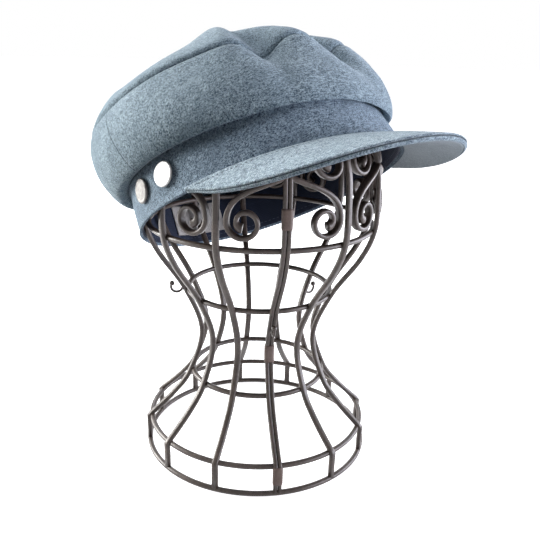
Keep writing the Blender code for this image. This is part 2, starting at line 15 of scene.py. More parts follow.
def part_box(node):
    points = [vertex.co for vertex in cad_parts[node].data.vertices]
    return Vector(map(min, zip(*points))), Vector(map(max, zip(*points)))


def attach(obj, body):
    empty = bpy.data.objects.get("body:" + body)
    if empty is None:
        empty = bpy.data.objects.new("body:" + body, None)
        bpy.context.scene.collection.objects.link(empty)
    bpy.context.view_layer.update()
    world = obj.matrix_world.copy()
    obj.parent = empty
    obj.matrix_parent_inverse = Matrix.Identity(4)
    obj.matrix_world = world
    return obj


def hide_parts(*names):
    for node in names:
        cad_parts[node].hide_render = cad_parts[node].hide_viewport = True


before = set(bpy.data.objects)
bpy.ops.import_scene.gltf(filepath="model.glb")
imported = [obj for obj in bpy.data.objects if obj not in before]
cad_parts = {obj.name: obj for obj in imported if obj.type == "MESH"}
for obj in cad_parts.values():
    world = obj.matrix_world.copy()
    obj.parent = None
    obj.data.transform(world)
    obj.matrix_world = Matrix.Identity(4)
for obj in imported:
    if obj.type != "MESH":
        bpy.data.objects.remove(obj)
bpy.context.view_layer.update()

print("nodes in the frame:", ", ".join(sorted(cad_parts)))

# %% [markdown]
# The cap is drawn in its own frame, because its cut is simple there: the middle of the band's
# lower edge is the origin, angle 0 is the front and 90 degrees the wearer's left. The sizes are
# the same as those of the solids, in metres, so that each fine piece fits over its solid.

# %% Sizes of the cap
CLOTH = 0.0020
SEWN_GAP = 0.0003
BAND_LENGTH, BAND_WIDTH, BAND_HEIGHT = 0.1978, 0.1888, 0.0310
BAND_LEAN_FRONT, BAND_LEAN_SIDE, BAND_LEAN_BACK = 0.0099, 0.0024, 0.0009
BAND_SIDE_LIFT = 0.0012
SWEATBAND, SWEATBAND_HEIGHT, SWEATBAND_INSET = 0.0012, 0.0330, 0.0012
CROWN_LENGTH, CROWN_WIDTH, CROWN_HEIGHT = 0.2020, 0.1920, 0.0810
CROWN_SETBACK, CROWN_RAKE = 0.0310, math.radians(2.0)
PUFF_FRONT, PUFF_SIDE, PUFF_BACK = 0.0035, 0.0085, 0.0060
TIP_RISE, TIP_FLATNESS, TIP_EDGE = 0.0260, 3.2, 0.7
FOLD_DEPTH = 0.0100
BACK_TILT = math.radians(32.1)

WALL_SECTIONS = [
    # height  way    bulge  off
    (0.00, 0.00, 0.00, 0.00),
    (-0.05, 0.01, 0.40, 0.75),
    (-0.01, 0.04, 0.90, 0.50),
    (0.15, 0.15, 1.30, 0.20),
    (0.42, 0.40, 1.35, 0.00),
    (0.70, 0.72, 0.85, 0.00),
    (0.90, 0.94, 0.30, 0.00),
    (1.00, 1.00, 0.00, 0.00),
]
FOLDS = [
    # angle half  inward  down   wall  tip
    (-13.0, 7.0, 0.80, 0.90, 0.35, 0.50),
    (21.0, 6.0, 0.80, 1.00, 0.40, 0.45),
    (-26.0, 9.0, -0.10, -0.10, 0.40, 0.50),
    (3.0, 10.0, -0.20, -0.20, 0.30, 0.60),
    (42.0, 15.0, -0.70, -0.65, 0.45, 0.50),
]
SAGS = [
    # angle half  drop  off
    (33.0, 22.0, 0.20, 1.10),
]
SAG_START, SAG_END, SAG_FADE = 0.125, 0.87, 1.5
SWELLS = [
    # angle half  height spread bulge
    (48.0, 28.0, 0.72, 0.32, 0.65),
]
SWELL_FADE = 6
HUMPS = [
    # angle  place spread height
    (-22.0, 0.58, 0.24, 0.48),
    (-98.0, 0.78, 0.22, 0.22),
    (22.0, 0.62, 0.24, 0.30),
    (98.0, 0.78, 0.22, 0.18),
]
HUMP_START = 0.167

# %% [markdown]
# A grid of points is the plainest way to draw cloth: one direction runs round the head, the
# other up the wall. The same few formulas give any number of rows and columns, so the dressed
# cap can be far finer than its solid and still lie in the same place.

# %% Small helpers for grids
def bell(distance, half_width):
    return np.exp(-(distance / half_width) ** 2)


def unit(vectors):
    return vectors / np.maximum(np.linalg.norm(vectors, axis=-1, keepdims=True), 1e-12)


def stack(left, back, up):
    return np.stack(np.broadcast_arrays(left, back, up), axis=-1)


def angle_between(angle, centre):
    """Signed difference of two angles in degrees, within half a turn."""
    return (np.degrees(angle) - centre + 180.0) % 360.0 - 180.0


def read_table(table, place):
    """Rows read from a table along a Catmull-Rom curve, at places from 0 to 1."""
    rows = np.array(table, float)
    last = len(rows) - 1
    place = place * last
    index = np.minimum(place.astype(int), last - 1)
    way = (place - index)[:, None]
    before, start, end, after = (rows[np.clip(index + step, 0, last)] for step in (-1, 0, 1, 2))
    return 0.5 * (2 * start + (end - before) * way
                  + (2 * before - 5 * start + 4 * end - after) * way ** 2
                  + (3 * start - before - 3 * end + after) * way ** 3)


# %% [markdown]
# The band is an oval that leans in as it rises. The crown's wall runs from it up to the edge
# seam through the rows of the sections table, and the tip is a flat dome over the seam's oval.
# Folds, sags, swells and humps are added from their own tables.

# %% Surfaces of the band and the crown
def band_edge_height(angle):
    return BAND_SIDE_LIFT * np.sin(angle) ** 2


def band_point(angle, height, inset=0.0):
    """Point on the band's outer face, or inset from it, at a height above its lower edge."""
    share = height / BAND_HEIGHT
    front = BAND_LENGTH / 2 - BAND_LEAN_FRONT * share - inset
    back = BAND_LENGTH / 2 - BAND_LEAN_BACK * share - inset
    side = BAND_WIDTH / 2 - BAND_LEAN_SIDE * share - inset
    centre = (back - front) / 2
    return stack(side * np.sin(angle), centre - (front + back) / 2 * np.cos(angle), height)


def seam_point(angle, share=1.0):
    """Point on the plane of the crown's edge seam, at a share of the oval's radius."""
    left = share * CROWN_WIDTH / 2 * np.sin(angle)
    back = CROWN_SETBACK - share * CROWN_LENGTH / 2 * np.cos(angle)
    return stack(left, back, CROWN_HEIGHT - back * math.tan(CROWN_RAKE))


def oval_outward(angle):
    return unit(stack(np.sin(angle) / BAND_WIDTH, -np.cos(angle) / BAND_LENGTH, 0.0))


def puff(angle):
    ahead = np.cos(angle)
    reach = np.where(ahead > 0.0, PUFF_FRONT, PUFF_BACK)
    return PUFF_SIDE + (reach - PUFF_SIDE) * ahead ** 2


def fold_shift(angle, from_seam, reach_column, strength=1.0):
    """Shift of the cloth by the folds, at a share of the way away from the edge seam."""
    inward, down = 0.0, 0.0
    for row in FOLDS:
        weight = bell(angle_between(angle, row[0]), row[1])
        weight = weight * np.exp(-2.0 * (from_seam / row[reach_column]) ** 2) * strength
        inward = inward + row[2] * FOLD_DEPTH * weight
        down = down + row[3] * FOLD_DEPTH * weight
    return -oval_outward(angle) * inward[..., None] - stack(0.0, 0.0, down)


def wall_grid(angle, along):
    """Outer face of the crown's wall: rows from the band up to the edge seam."""
    height, way, bulge, off = (column[:, None] for column in read_table(WALL_SECTIONS, along).T)
    along = along[:, None]
    foot = band_point(angle, BAND_HEIGHT) + np.array([0.0, 0.0, SEWN_GAP])
    top = seam_point(angle)
    wall = foot + (top - foot) * way[..., None]
    wall[..., 2] = foot[..., 2] + (top - foot)[..., 2] * height
    outward = bulge * puff(angle) + off * CLOTH
    for centre, half_width, drop, stand_off in SAGS:
        fade = (np.clip(1.0 - along / SAG_END, 0.0, 1.0) ** SAG_FADE
                * np.clip(along / SAG_START, 0.0, 1.0))
        sag = bell(angle_between(angle, centre), half_width) * fade
        wall[..., 2] -= drop * BAND_HEIGHT * sag
        outward = outward + stand_off * CLOTH * sag
    for centre, half_width, place, spread, extra in SWELLS:
        swell = bell(angle_between(angle, centre), half_width) * bell(along - place, spread)
        outward = outward + extra * FOLD_DEPTH * swell * (1.0 - along ** SWELL_FADE)
    wall = wall + oval_outward(angle) * outward[..., None]
    return wall + fold_shift(angle, 1.0 - along, 4)


def tip_grid(angle, inward):
    """Outer face of the crown's tip: rows from the edge seam in towards the middle."""
    inward = inward[:, None]
    share = 1.0 - inward
    tip = seam_point(angle, share)
    rise = TIP_RISE * (1.0 - share ** TIP_FLATNESS) ** TIP_EDGE
    for centre, place, spread, hump in HUMPS:
        beside = share * np.cos(angle) - place * math.cos(math.radians(centre))
        across = share * np.sin(angle) - place * math.sin(math.radians(centre))
        swell = bell(np.hypot(beside, across), spread) * np.clip(inward / HUMP_START, 0.0, 1.0)
        rise = rise + hump * TIP_RISE * swell
    tip[..., 2] += rise
    return tip + fold_shift(angle, inward, 5, np.sqrt(share))


# %% [markdown]
# The cap leans back on the stand. Its turn is a named size, and its place is read from the
# frame: the fine band is tilted, and then moved until its box lies on the solid band's box. The
# stand is the same seen from any rib, so the middle of its box gives its axis.

# %% Places of the cap and the stand, from the frame
def box_middle(node):
    low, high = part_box(node)
    return (low + high) / 2


CAP_TURN = np.array(Matrix.Rotation(-BACK_TILT, 3, "X"))
round_the_head = np.radians(np.arange(0.0, 360.0))[None, :]
band_rows = np.concatenate([
    band_point(round_the_head, level + band_edge_height(round_the_head) * (1.0 - share), inset)
    for share, level in ((0.0, 0.0), (1.0, BAND_HEIGHT)) for inset in (0.0, CLOTH)
]).reshape(-1, 3) @ CAP_TURN.T
CAP_PLACE = np.array(box_middle("band")) - (band_rows.min(axis=0) + band_rows.max(axis=0)) / 2
STAND_PLACE = np.array([*box_middle("wire_stand").xy, 0.0])
print("cap's origin, mm:", np.round(CAP_PLACE * 1000, 2), " stand's axis, mm:",
      np.round(STAND_PLACE * 1000, 2))


def in_row(points):
    """Points of the cap's frame, placed in the frame that all pieces share."""
    return np.asarray(points) @ CAP_TURN.T + CAP_PLACE


# %% [markdown]
# Blender stores a mesh as points and faces. A cloth piece needs thickness too, so its outer grid
# is copied inwards along the surface, and both ends are closed by a rounded hem. Each corner of
# a face also gets a place on the cloth (a UV map), which seams and weaves follow later.

# %% From grids to closed cloth meshes
def add_object(name, data):
    """An object for a mesh, a lamp or a camera, at the origin of the scene."""
    made = bpy.data.objects.new(name, data)
    bpy.context.scene.collection.objects.link(made)
    return made


def new_piece(name, points, faces, uv=None):
    """A mesh object with smooth faces, which keeps its place in its mesh."""
    mesh = bpy.data.meshes.new(name)
    mesh.from_pydata(np.asarray(points).reshape(-1, 3).tolist(), [], faces)
    if uv is not None:
        layer = mesh.uv_layers.new(name="cloth")
        layer.data.foreach_set("uv", np.asarray(uv, np.float32).ravel())
    mesh.shade_smooth()
    return add_object(name, mesh)


def grid_faces(rows, columns, closed_rows, closed_columns):
    """Quads of a grid, and each corner's place on it from 0 to 1."""
    faces, uv = [], []
    for row in range(rows if closed_rows else rows - 1):
        for column in range(columns if closed_columns else columns - 1):
            corners = [(row, column), (row, column + 1), (row + 1, column + 1), (row + 1, column)]
            faces.append([(r % rows) * columns + c % columns for r, c in corners])
            uv += [(c / columns, r / rows) for r, c in corners]
    return faces, uv


def turn_outwards(piece):
    """Makes the faces of a closed piece point away from its inside."""
    work = bmesh.new()
    work.from_mesh(piece.data)
    bmesh.ops.recalc_face_normals(work, faces=work.faces)
    if work.calc_volume(signed=True) < 0.0:
        bmesh.ops.reverse_faces(work, faces=work.faces)
    work.to_mesh(piece.data)
    work.free()
    return piece


def capped_tube(name, loops):
    """A closed solid from equal loops of points, with one flat face at each end."""
    count, size = len(loops), len(loops[0])
    faces, uv = grid_faces(count, size, False, True)
    for first in (0, (count - 1) * size):
        faces.append([first + corner for corner in range(size)])
        uv += [(0.0, 0.0)] * size
    return turn_outwards(new_piece(name, loops, faces, uv))


def surface_normals(grid, away_from):
    """Normals of a hoop's grid, turned away from a point inside it."""
    along = np.gradient(grid, axis=0)
    around = np.roll(grid, -1, axis=1) - np.roll(grid, 1, axis=1)
    normal = unit(np.cross(around, along))
    return normal if np.sum(normal * (grid - away_from)) > 0.0 else -normal


HEM_TURNS = np.radians([30.0, 60.0, 90.0, 120.0, 150.0])
HEM_INSET = 0.25


def hem(outer, inner, beyond):
    """Rows that round off an edge from the outer to the inner layer."""
    middle, half = (outer + inner) / 2, (outer - inner) / 2
    reach = np.linalg.norm(half, axis=-1, keepdims=True)
    return [middle + half * math.cos(turn) + unit(beyond) * reach * math.sin(turn)
            for turn in HEM_TURNS]


def cloth_shell(name, grid, thickness, away_from):
    """A closed hoop of cloth from its outer grid, with both edges rounded."""
    inner = grid - surface_normals(grid, away_from) * thickness
    inset = HEM_INSET * thickness
    for layer in (grid, inner):
        layer[0] += unit(layer[1] - layer[0]) * inset
        layer[-1] += unit(layer[-2] - layer[-1]) * inset
    upper = hem(grid[-1], inner[-1], grid[-1] - grid[-2])
    lower = hem(inner[0], grid[0], grid[0] - grid[1])
    rows = np.array([*grid, *upper, *inner[::-1], *lower])
    faces, uv = grid_faces(*rows.shape[:2], True, True)
    return turn_outwards(new_piece(name, in_row(rows), faces, uv))


# %% [markdown]
# Soft cloth is never quite smooth. A slow noise moves each point a few tenths of a millimetre
# along the surface's normal, and the edge seam pulls the cloth in on both sides, which is what
# makes a sewn edge look rounded. Wall and tip are pulled the same way, so the seam stays shut.

# %% Softness and the pull of the edge seam
WAVE_SIZE = 0.026
WAVE_DEPTH = 0.00055
FINE_WAVES, FINE_WAVE_SHARE = 2.3, 0.4
SEAM_PULL = 0.0013
SEAM_REACH = 0.0017
TOPSTITCH_AWAY = 0.0030
TOPSTITCH_PULL = 0.0003
TOPSTITCH_REACH = 0.0009
BAND_FADE, SEAM_FADE, CREASE_FADE, EDGE_FADE = 0.008, 0.006, 0.004, 0.004
CREASES = [
    # angle lean  half  depth  reach
    (-13.0, -8.0, 4.0, 0.0026, 0.50),
    (21.0, 9.0, 4.0, 0.0026, 0.55),
    (5.0, 2.0, 8.0, -0.0014, 0.60),
    (-30.0, -6.0, 9.0, -0.0012, 0.60),
]


def soft_waves(grid):
    """Slow unevenness of soft cloth, the same each run."""
    flat = grid.reshape(-1, 3) / WAVE_SIZE
    values = [noise.noise(point) + FINE_WAVE_SHARE * noise.noise([FINE_WAVES * x for x in point])
              for point in flat]
    return np.array(values).reshape(grid.shape[:2]) * WAVE_DEPTH


def way_from_edge(grid, edge):
    """Distance along the cloth from its first or last row, for each point."""
    steps = np.linalg.norm(np.diff(grid, axis=0), axis=-1)
    ways = np.concatenate([np.zeros((1, grid.shape[1])), np.cumsum(steps, axis=0)])
    return ways if edge == "first" else ways[-1] - ways


def crease_depth(angle, from_seam):
    """Depth of the creases that run on down the wall below each fold, with soft ridges beside."""
    depth = 0.0
    for centre, lean, half_width, deep, reach in CREASES:
        away = angle_between(angle, centre + lean * from_seam)
        depth = depth + deep * bell(away, half_width) * bell(from_seam, reach)
    return depth


def held(way, reach):
    """0 at an edge where the cloth is held still, rising to 1 at some way from it."""
    return np.clip(way / reach, 0.0, 1.0)


def seam_pull(way):
    return SEAM_PULL * bell(way, SEAM_REACH)


# %% [markdown]
# The wall is a hoop with two hems. The tip's rows close in towards the middle, where two points
# finish its two layers. Rows crowd together near the edge seam, where the cloth bends most.

# %% Crown wall and tip
AROUND = 480
WALL_ROWS, WALL_CROWDING = 72, 1.4
TIP_ROWS, TIP_CROWDING = 56, 1.25
MIDDLE = np.array([0.0, CROWN_SETBACK, CROWN_HEIGHT / 2])
angle = np.linspace(0.0, 2.0 * math.pi, AROUND, endpoint=False)[None, :]
wall_places = 1.0 - (1.0 - np.linspace(0.0, 1.0, WALL_ROWS + 1)) ** WALL_CROWDING
tip_places = np.linspace(0.0, 1.0, TIP_ROWS + 1)[:-1] ** TIP_CROWDING

wall = wall_grid(angle, wall_places)
tip = tip_grid(angle, tip_places)
wall_out, tip_out = surface_normals(wall, MIDDLE), surface_normals(tip, MIDDLE)
seam_in = -unit(wall_out[-1] + tip_out[0])

from_seam = way_from_edge(wall, "last")
from_band = way_from_edge(wall, "first")
rise = soft_waves(wall) * held(from_band, BAND_FADE) * held(from_seam, SEAM_FADE)
rise = rise - crease_depth(angle, 1.0 - wall_places[:, None]) * held(from_seam, CREASE_FADE)
rise = rise - TOPSTITCH_PULL * bell(from_seam - TOPSTITCH_AWAY, TOPSTITCH_REACH)
wall = wall + wall_out * rise[..., None] + seam_in * seam_pull(from_seam)[..., None]
wall_topstitch = wall.copy()
crown_wall_cloth = cloth_shell("crown_wall_cloth", wall, CLOTH, MIDDLE)
print("crown wall:", len(crown_wall_cloth.data.polygons), "faces")

from_seam = way_from_edge(tip, "first")
rise = soft_waves(tip) * held(from_seam, SEAM_FADE)
tip = tip + tip_out * rise[..., None] + seam_in * seam_pull(from_seam)[..., None]
tip_inside = tip - surface_normals(tip, MIDDLE) * CLOTH
for layer in (tip, tip_inside):
    layer[0] += unit(layer[1] - layer[0]) * SEWN_GAP
rim = hem(tip_inside[0], tip[0], tip[0] - tip[1])
rows = np.array([*tip[::-1], *rim[::-1], *tip_inside])
poles = [tip[-1].mean(axis=0), tip_inside[-1].mean(axis=0)]
faces, uv = grid_faces(*rows.shape[:2], False, True)
last_row, outer_pole = (len(rows) - 1) * AROUND, len(rows) * AROUND
for column in range(AROUND):
    beside = (column + 1) % AROUND
    faces.append([beside, column, outer_pole])
    faces.append([last_row + column, last_row + beside, outer_pole + 1])
    uv += [(0.5, 0.5)] * 6
points = np.concatenate([in_row(rows).reshape(-1, 3), in_row(poles)])
crown_tip_cloth = turn_outwards(new_piece("crown_tip_cloth", points, faces, uv))
print("crown tip:", len(crown_tip_cloth.data.polygons), "faces")

# %% [markdown]
# The band and the sweatband are hoops round the head, so they use the same shell as the crown.
# The band puckers a little where it is sewn to the peak, and the sweatband is a thin dark strip
# inside it.

# %% Band and sweatband
BAND_ROWS = 22
SWEATBAND_ROWS = 18
PUCKER_DEPTH, PUCKER_COUNT = 0.00035, 46
PUCKER_AWAY, PUCKER_SPREAD = 0.007, 0.006
PUCKER_DRIFT, PUCKER_DRIFT_COUNT = 3.0, 5
BAND_STITCH_AWAY = 0.0026


def hoop_grid(low, high, inset, rows):
    """Rows of points on the band, or inset from it, from one level up to another."""
    shares = np.linspace(0.0, 1.0, rows)[:, None]
    levels = low + (high - low) * shares + band_edge_height(angle) * (1.0 - shares)
    return band_point(angle, levels, inset)


band = hoop_grid(0.0, BAND_HEIGHT, 0.0, BAND_ROWS)
from_edge = way_from_edge(band, "first")
front = np.clip(np.cos(angle), 0.0, 1.0)
drift = PUCKER_DRIFT * np.sin(PUCKER_DRIFT_COUNT * angle)
pucker = PUCKER_DEPTH * np.sin(PUCKER_COUNT * angle + drift)
pucker = pucker * bell(from_edge - PUCKER_AWAY, PUCKER_SPREAD) * front
free = held(from_edge, EDGE_FADE) * held(BAND_HEIGHT - from_edge, EDGE_FADE)
shift = pucker + (soft_waves(band) - WAVE_DEPTH) * free
shift = shift - TOPSTITCH_PULL * bell(from_edge - BAND_STITCH_AWAY, TOPSTITCH_REACH)
band = band + surface_normals(band, MIDDLE) * shift[..., None]
band_topstitch_grid = band.copy()
band_cloth = cloth_shell("band_cloth", band, CLOTH, MIDDLE)

sweat_inset = CLOTH + SEWN_GAP
sweatband = hoop_grid(SWEATBAND_INSET, SWEATBAND_HEIGHT, sweat_inset, SWEATBAND_ROWS)
sweatband_strip = cloth_shell("sweatband_strip", sweatband, SWEATBAND, MIDDLE)
print("band and sweatband:", len(band_cloth.data.polygons), len(sweatband_strip.data.polygons))

# %% [markdown]
# The blank label is a small patch on the sweatband's inner face. It is a little thicker along its
# hem, where its edge is turned under.

# %% Label
LABEL_FROM, LABEL_TO = math.radians(169.0), math.radians(199.0)
LABEL_HEIGHT, LABEL_BASE, LABEL_THICKNESS = 0.0240, 0.0060, 0.0006
LABEL_COLUMNS, LABEL_ROWS = 72, 24
LABEL_HEM = 0.0022
LABEL_PILLOW = 0.00012


def patch_shell(name, grid, thickness, inward):
    """A closed patch from its face that lies on the cloth, with a soft hem all round."""
    top = grid + inward * thickness[..., None]
    rows, columns = grid.shape[:2]
    points = np.concatenate([grid.reshape(-1, 3), top.reshape(-1, 3)])
    flat, uv = grid_faces(rows, columns, False, False)
    count = rows * columns
    faces = [face[::-1] for face in flat] + [[count + corner for corner in face] for face in flat]
    edge = (list(range(columns))
            + [row * columns + columns - 1 for row in range(1, rows)]
            + [(rows - 1) * columns + column for column in range(columns - 2, -1, -1)]
            + [row * columns for row in range(rows - 2, 0, -1)])
    for here, there in zip(edge, edge[1:] + edge[:1]):
        faces.append([here, there, count + there, count + here])
    uv = uv + uv + [(0.0, 0.0)] * (4 * len(edge))
    return turn_outwards(new_piece(name, in_row(points), faces, uv))


label_angle = np.linspace(LABEL_FROM, LABEL_TO, LABEL_COLUMNS)[None, :]
label_low = SWEATBAND_INSET + LABEL_BASE
label_share = np.linspace(0.0, 1.0, LABEL_ROWS)[:, None]
label_level = label_low + LABEL_HEIGHT * label_share + band_edge_height(label_angle) * (1 - label_share)
label_grid = band_point(label_angle, label_level, sweat_inset + SWEATBAND + SEWN_GAP)
label_wide = np.linalg.norm(label_grid[0, -1] - label_grid[0, 0])
from_side = np.minimum(np.linspace(0, label_wide, LABEL_COLUMNS),
                       np.linspace(label_wide, 0, LABEL_COLUMNS))[None, :]
from_end = LABEL_HEIGHT * np.minimum(label_share, 1 - label_share)
near_hem = np.minimum(from_side, from_end)
thick = LABEL_THICKNESS + LABEL_PILLOW * (1.0 - np.clip(near_hem / LABEL_HEM, 0.0, 1.0))
label_patch = patch_shell("label_patch", label_grid, thick, -oval_outward(label_angle))
print("label:", len(label_patch.data.polygons), "faces")

# %% [markdown]
# The peak is a stiff crescent. At each angle a ray runs out from the band, short and steep at
# the corners and long in front, and a section is drawn on it: the upper cloth runs out, turns
# round the rim and stops under it, and the underside cloth fills the rest.

# %% Peak
PEAK_LENGTH, PEAK_CORNER, PEAK_CORNER_LENGTH = 0.0524, math.radians(68.0), 0.0015
PEAK_TAPER, PEAK_FAN = 1.20, 0.85
PEAK_SLOPE_FRONT, PEAK_SLOPE_CORNER = math.radians(26.0), math.radians(61.6)
PEAK_TOP, PEAK_UNDER, PEAK_LIP, PEAK_LIP_MOST = 0.0027, 0.0017, 0.0016, 0.3
PEAK_RAYS = 240
PEAK_STATIONS = np.linspace(0.0, 1.0, 30)
RIM_TURNS = np.linspace(0.0, math.pi, 23)[1:-1]
PEAK_CROWN = 0.0006
PEAK_STITCH_AWAY = 0.0026
PEAK_STITCH_PULL = 0.00045
RIM_SEAM = math.radians(72.0)
RIM_SEAM_DEPTH, RIM_SEAM_SPREAD = 0.0009, 0.20


def peak_ray(angle):
    """Start, outward direction, upward normal and length of the peak at one angle."""
    share = (angle / PEAK_CORNER) ** 2
    slope = PEAK_SLOPE_FRONT + (PEAK_SLOPE_CORNER - PEAK_SLOPE_FRONT) * share
    turn = angle * PEAK_FAN
    outward = np.array([math.sin(turn), -math.cos(turn), 0.0])
    up = np.array([0.0, 0.0, 1.0])
    ray = outward * math.cos(slope) - up * math.sin(slope)
    normal = outward * math.sin(slope) + up * math.cos(slope)
    fade = max(0.0, 1.0 - share) ** PEAK_TAPER
    length = PEAK_CORNER_LENGTH + (PEAK_LENGTH - PEAK_CORNER_LENGTH) * fade
    return band_point(angle, band_edge_height(angle), -SEWN_GAP), ray, normal, length


def peak_sections(angle):
    """Loops of the upper cloth and of the underside cloth at one angle."""
    start, ray, normal, length = peak_ray(angle)
    lip = min(PEAK_LIP, PEAK_LIP_MOST * length)
    edge = length - lip
    out = PEAK_STATIONS * edge
    pulled = PEAK_STITCH_PULL * bell(out - PEAK_STITCH_AWAY, TOPSTITCH_REACH)
    crowned = PEAK_CROWN * np.sin(math.pi * PEAK_STATIONS) * min(1.0, length / PEAK_LENGTH)
    top = [(x, PEAK_TOP + up) for x, up in zip(out, crowned - pulled)]
    middle, half = (PEAK_TOP - PEAK_UNDER) / 2, (PEAK_TOP + PEAK_UNDER) / 2
    for turn in RIM_TURNS:
        groove = RIM_SEAM_DEPTH * bell(turn - RIM_SEAM, RIM_SEAM_SPREAD) * lip / PEAK_LIP
        top.append((edge + lip * math.sin(turn) - groove, middle + half * math.cos(turn)))
    top += [(edge, -PEAK_UNDER)] + [(x, SEWN_GAP / 2) for x in out[::-1]]
    inside = PEAK_STATIONS * (edge - SEWN_GAP)
    under = [(x, -SEWN_GAP / 2) for x in inside] + [(x, -PEAK_UNDER) for x in inside[::-1]]
    return ([start + ray * x + normal * up for x, up in top],
            [start + ray * x + normal * up for x, up in under])


loops = [peak_sections(turn) for turn in np.linspace(-PEAK_CORNER, PEAK_CORNER, PEAK_RAYS + 1)]
peak_cloth, peak_underside_cloth = (
    capped_tube(name, in_row([pair[layer] for pair in loops]))
    for layer, name in enumerate(("peak_cloth", "peak_underside_cloth")))
print("peak:", len(peak_cloth.data.polygons), len(peak_underside_cloth.data.polygons))

# %% [markdown]
# The buttons are flat blank discs pressed from sheet. One profile, turned round, gives the raised
# rim, the rounded edge and the nearly flat face. The same disc is set on the band four times.

# %% Buttons
BUTTON_DIAMETER, BUTTON_THICKNESS, BUTTON_HEIGHT = 0.0160, 0.0018, 0.0180
BUTTON_ANGLES = {"front": 75.5, "back": 91.5}
BUTTON_SIDES = 72
STEP_UP, STEP_ROUND = 0.001, 0.01
BUTTON_PROFILE = [
    # radius height, as shares of the radius and of the thickness
    (0.94, 0.00), (0.99, 0.15), (1.00, 0.42), (0.99, 0.68), (0.96, 0.86), (0.92, 0.96),
    (0.88, 1.00), (0.84, 0.98), (0.80, 0.90), (0.60, 0.92), (0.35, 0.94), (0.10, 0.95),
]


def button_piece(name, turn):
    """A disc that lies on the band's outer face at a turn from the front."""
    centre = Vector(band_point(turn, BUTTON_HEIGHT))
    upward = (Vector(band_point(turn, BUTTON_HEIGHT + STEP_UP)) - centre).normalized()
    around = (Vector(band_point(turn + STEP_ROUND, BUTTON_HEIGHT)) - centre).normalized()
    outward = around.cross(upward).normalized()
    around = upward.cross(outward)
    sides = np.linspace(0.0, 2.0 * math.pi, BUTTON_SIDES, endpoint=False)
    loops = []
    for reach, high in BUTTON_PROFILE:
        flat = reach * BUTTON_DIAMETER / 2
        spots = [around * flat * math.cos(side) + upward * flat * math.sin(side) for side in sides]
        lift = outward * (high * BUTTON_THICKNESS + SEWN_GAP)
        loops.append([tuple(centre + spot + lift) for spot in spots])
    return capped_tube(name, in_row(loops))


buttons = {}
for side, sign in (("right", -1.0), ("left", 1.0)):
    for place, degrees in BUTTON_ANGLES.items():
        node = f"{side}_{place}_button"
        buttons[node] = button_piece(f"{node}_disc", sign * math.radians(degrees))
print("buttons:", ", ".join(buttons))

# %% [markdown]
# Finishes are built from shader nodes. A few helpers make the kinds that come again and again,
# so that each finish below reads as a short list of steps.

# %% Helpers for shader nodes
def node_group(name, inputs, outputs):
    """An empty shader group with its sockets, and its two end nodes."""
    group = bpy.data.node_groups.new(name, "ShaderNodeTree")
    for label, kind, value in inputs:
        socket = group.interface.new_socket(label, in_out="INPUT", socket_type=kind)
        socket.default_value = value
    for label, kind in outputs:
        group.interface.new_socket(label, in_out="OUTPUT", socket_type=kind)
    return group, group.nodes.new("NodeGroupInput"), group.nodes.new("NodeGroupOutput")


def feed(links, socket, value):
    """Sets an input to a constant, or links another node's output to it."""
    if isinstance(value, bpy.types.NodeSocket):
        links.new(value, socket)
    else:
        socket.default_value = value


def noise_node(nodes, links, where, scale, detail, roughness=0.6):
    made = nodes.new("ShaderNodeTexNoise")
    feed(links, made.inputs["Scale"], scale)
    made.inputs["Detail"].default_value = detail
    made.inputs["Roughness"].default_value = roughness
    links.new(where, made.inputs["Vector"])
    return made.outputs["Fac"]


def math_node(nodes, links, operation, first, second):
    made = nodes.new("ShaderNodeMath")
    made.operation = operation
    feed(links, made.inputs[0], first)
    feed(links, made.inputs[1], second)
    return made.outputs[0]


def ramp_node(nodes, links, value, low, high):
    """A value stretched so that low becomes 0 and high becomes 1."""
    made = nodes.new("ShaderNodeMapRange")
    made.inputs["From Min"].default_value = low
    made.inputs["From Max"].default_value = high
    links.new(value, made.inputs["Value"])
    return made.outputs["Result"]


def mix_colours(nodes, links, share, first, second):
    made = nodes.new("ShaderNodeMix")
    made.data_type = "RGBA"
    for number, value in ((0, share), (6, first), (7, second)):
        feed(links, made.inputs[number], value)
    return made.outputs[2]


def place_group(nodes, group, values):
    """Places a group in a material, sets its named inputs and gives its outputs."""
    placed_node = nodes.new("ShaderNodeGroup")
    placed_node.node_tree = group
    for label, value in values.items():
        is_colour = isinstance(value, tuple)
        placed_node.inputs[label].default_value = (*value, 1.0) if is_colour else value
    return placed_node.outputs


# %% [markdown]
# Melton wool is a felted cloth: fibres of light and dark wool lie in all directions, so from near
# it is a fine grain, and from further off it is softly mottled. Several pieces use this effect
# with colours of their own, so it is a shader node group with named inputs.

# %% A shader group for heathered wool
WOOL_NOISES = {
    # scale detail roughness weight
    "grain": (1700.0, 3.0, 0.75, 0.42),
    "clumps": (820.0, 3.0, 0.70, 0.26),
    "hairs": (1.0, 2.0, 0.60, 0.22),
    "tufts": (250.0, 2.0, 0.60, 0.10),
}
HAIR_TURN, HAIR_SCALE = (0.5, 0.3, 0.7), (240.0, 1500.0, 900.0)
HEATHER_LOW, HEATHER_HIGH = 0.44, 0.64
FADED_PATCHES = (46.0, 2.0, 0.5)
FADED_LOW, FADED_HIGH = 0.42, 0.66


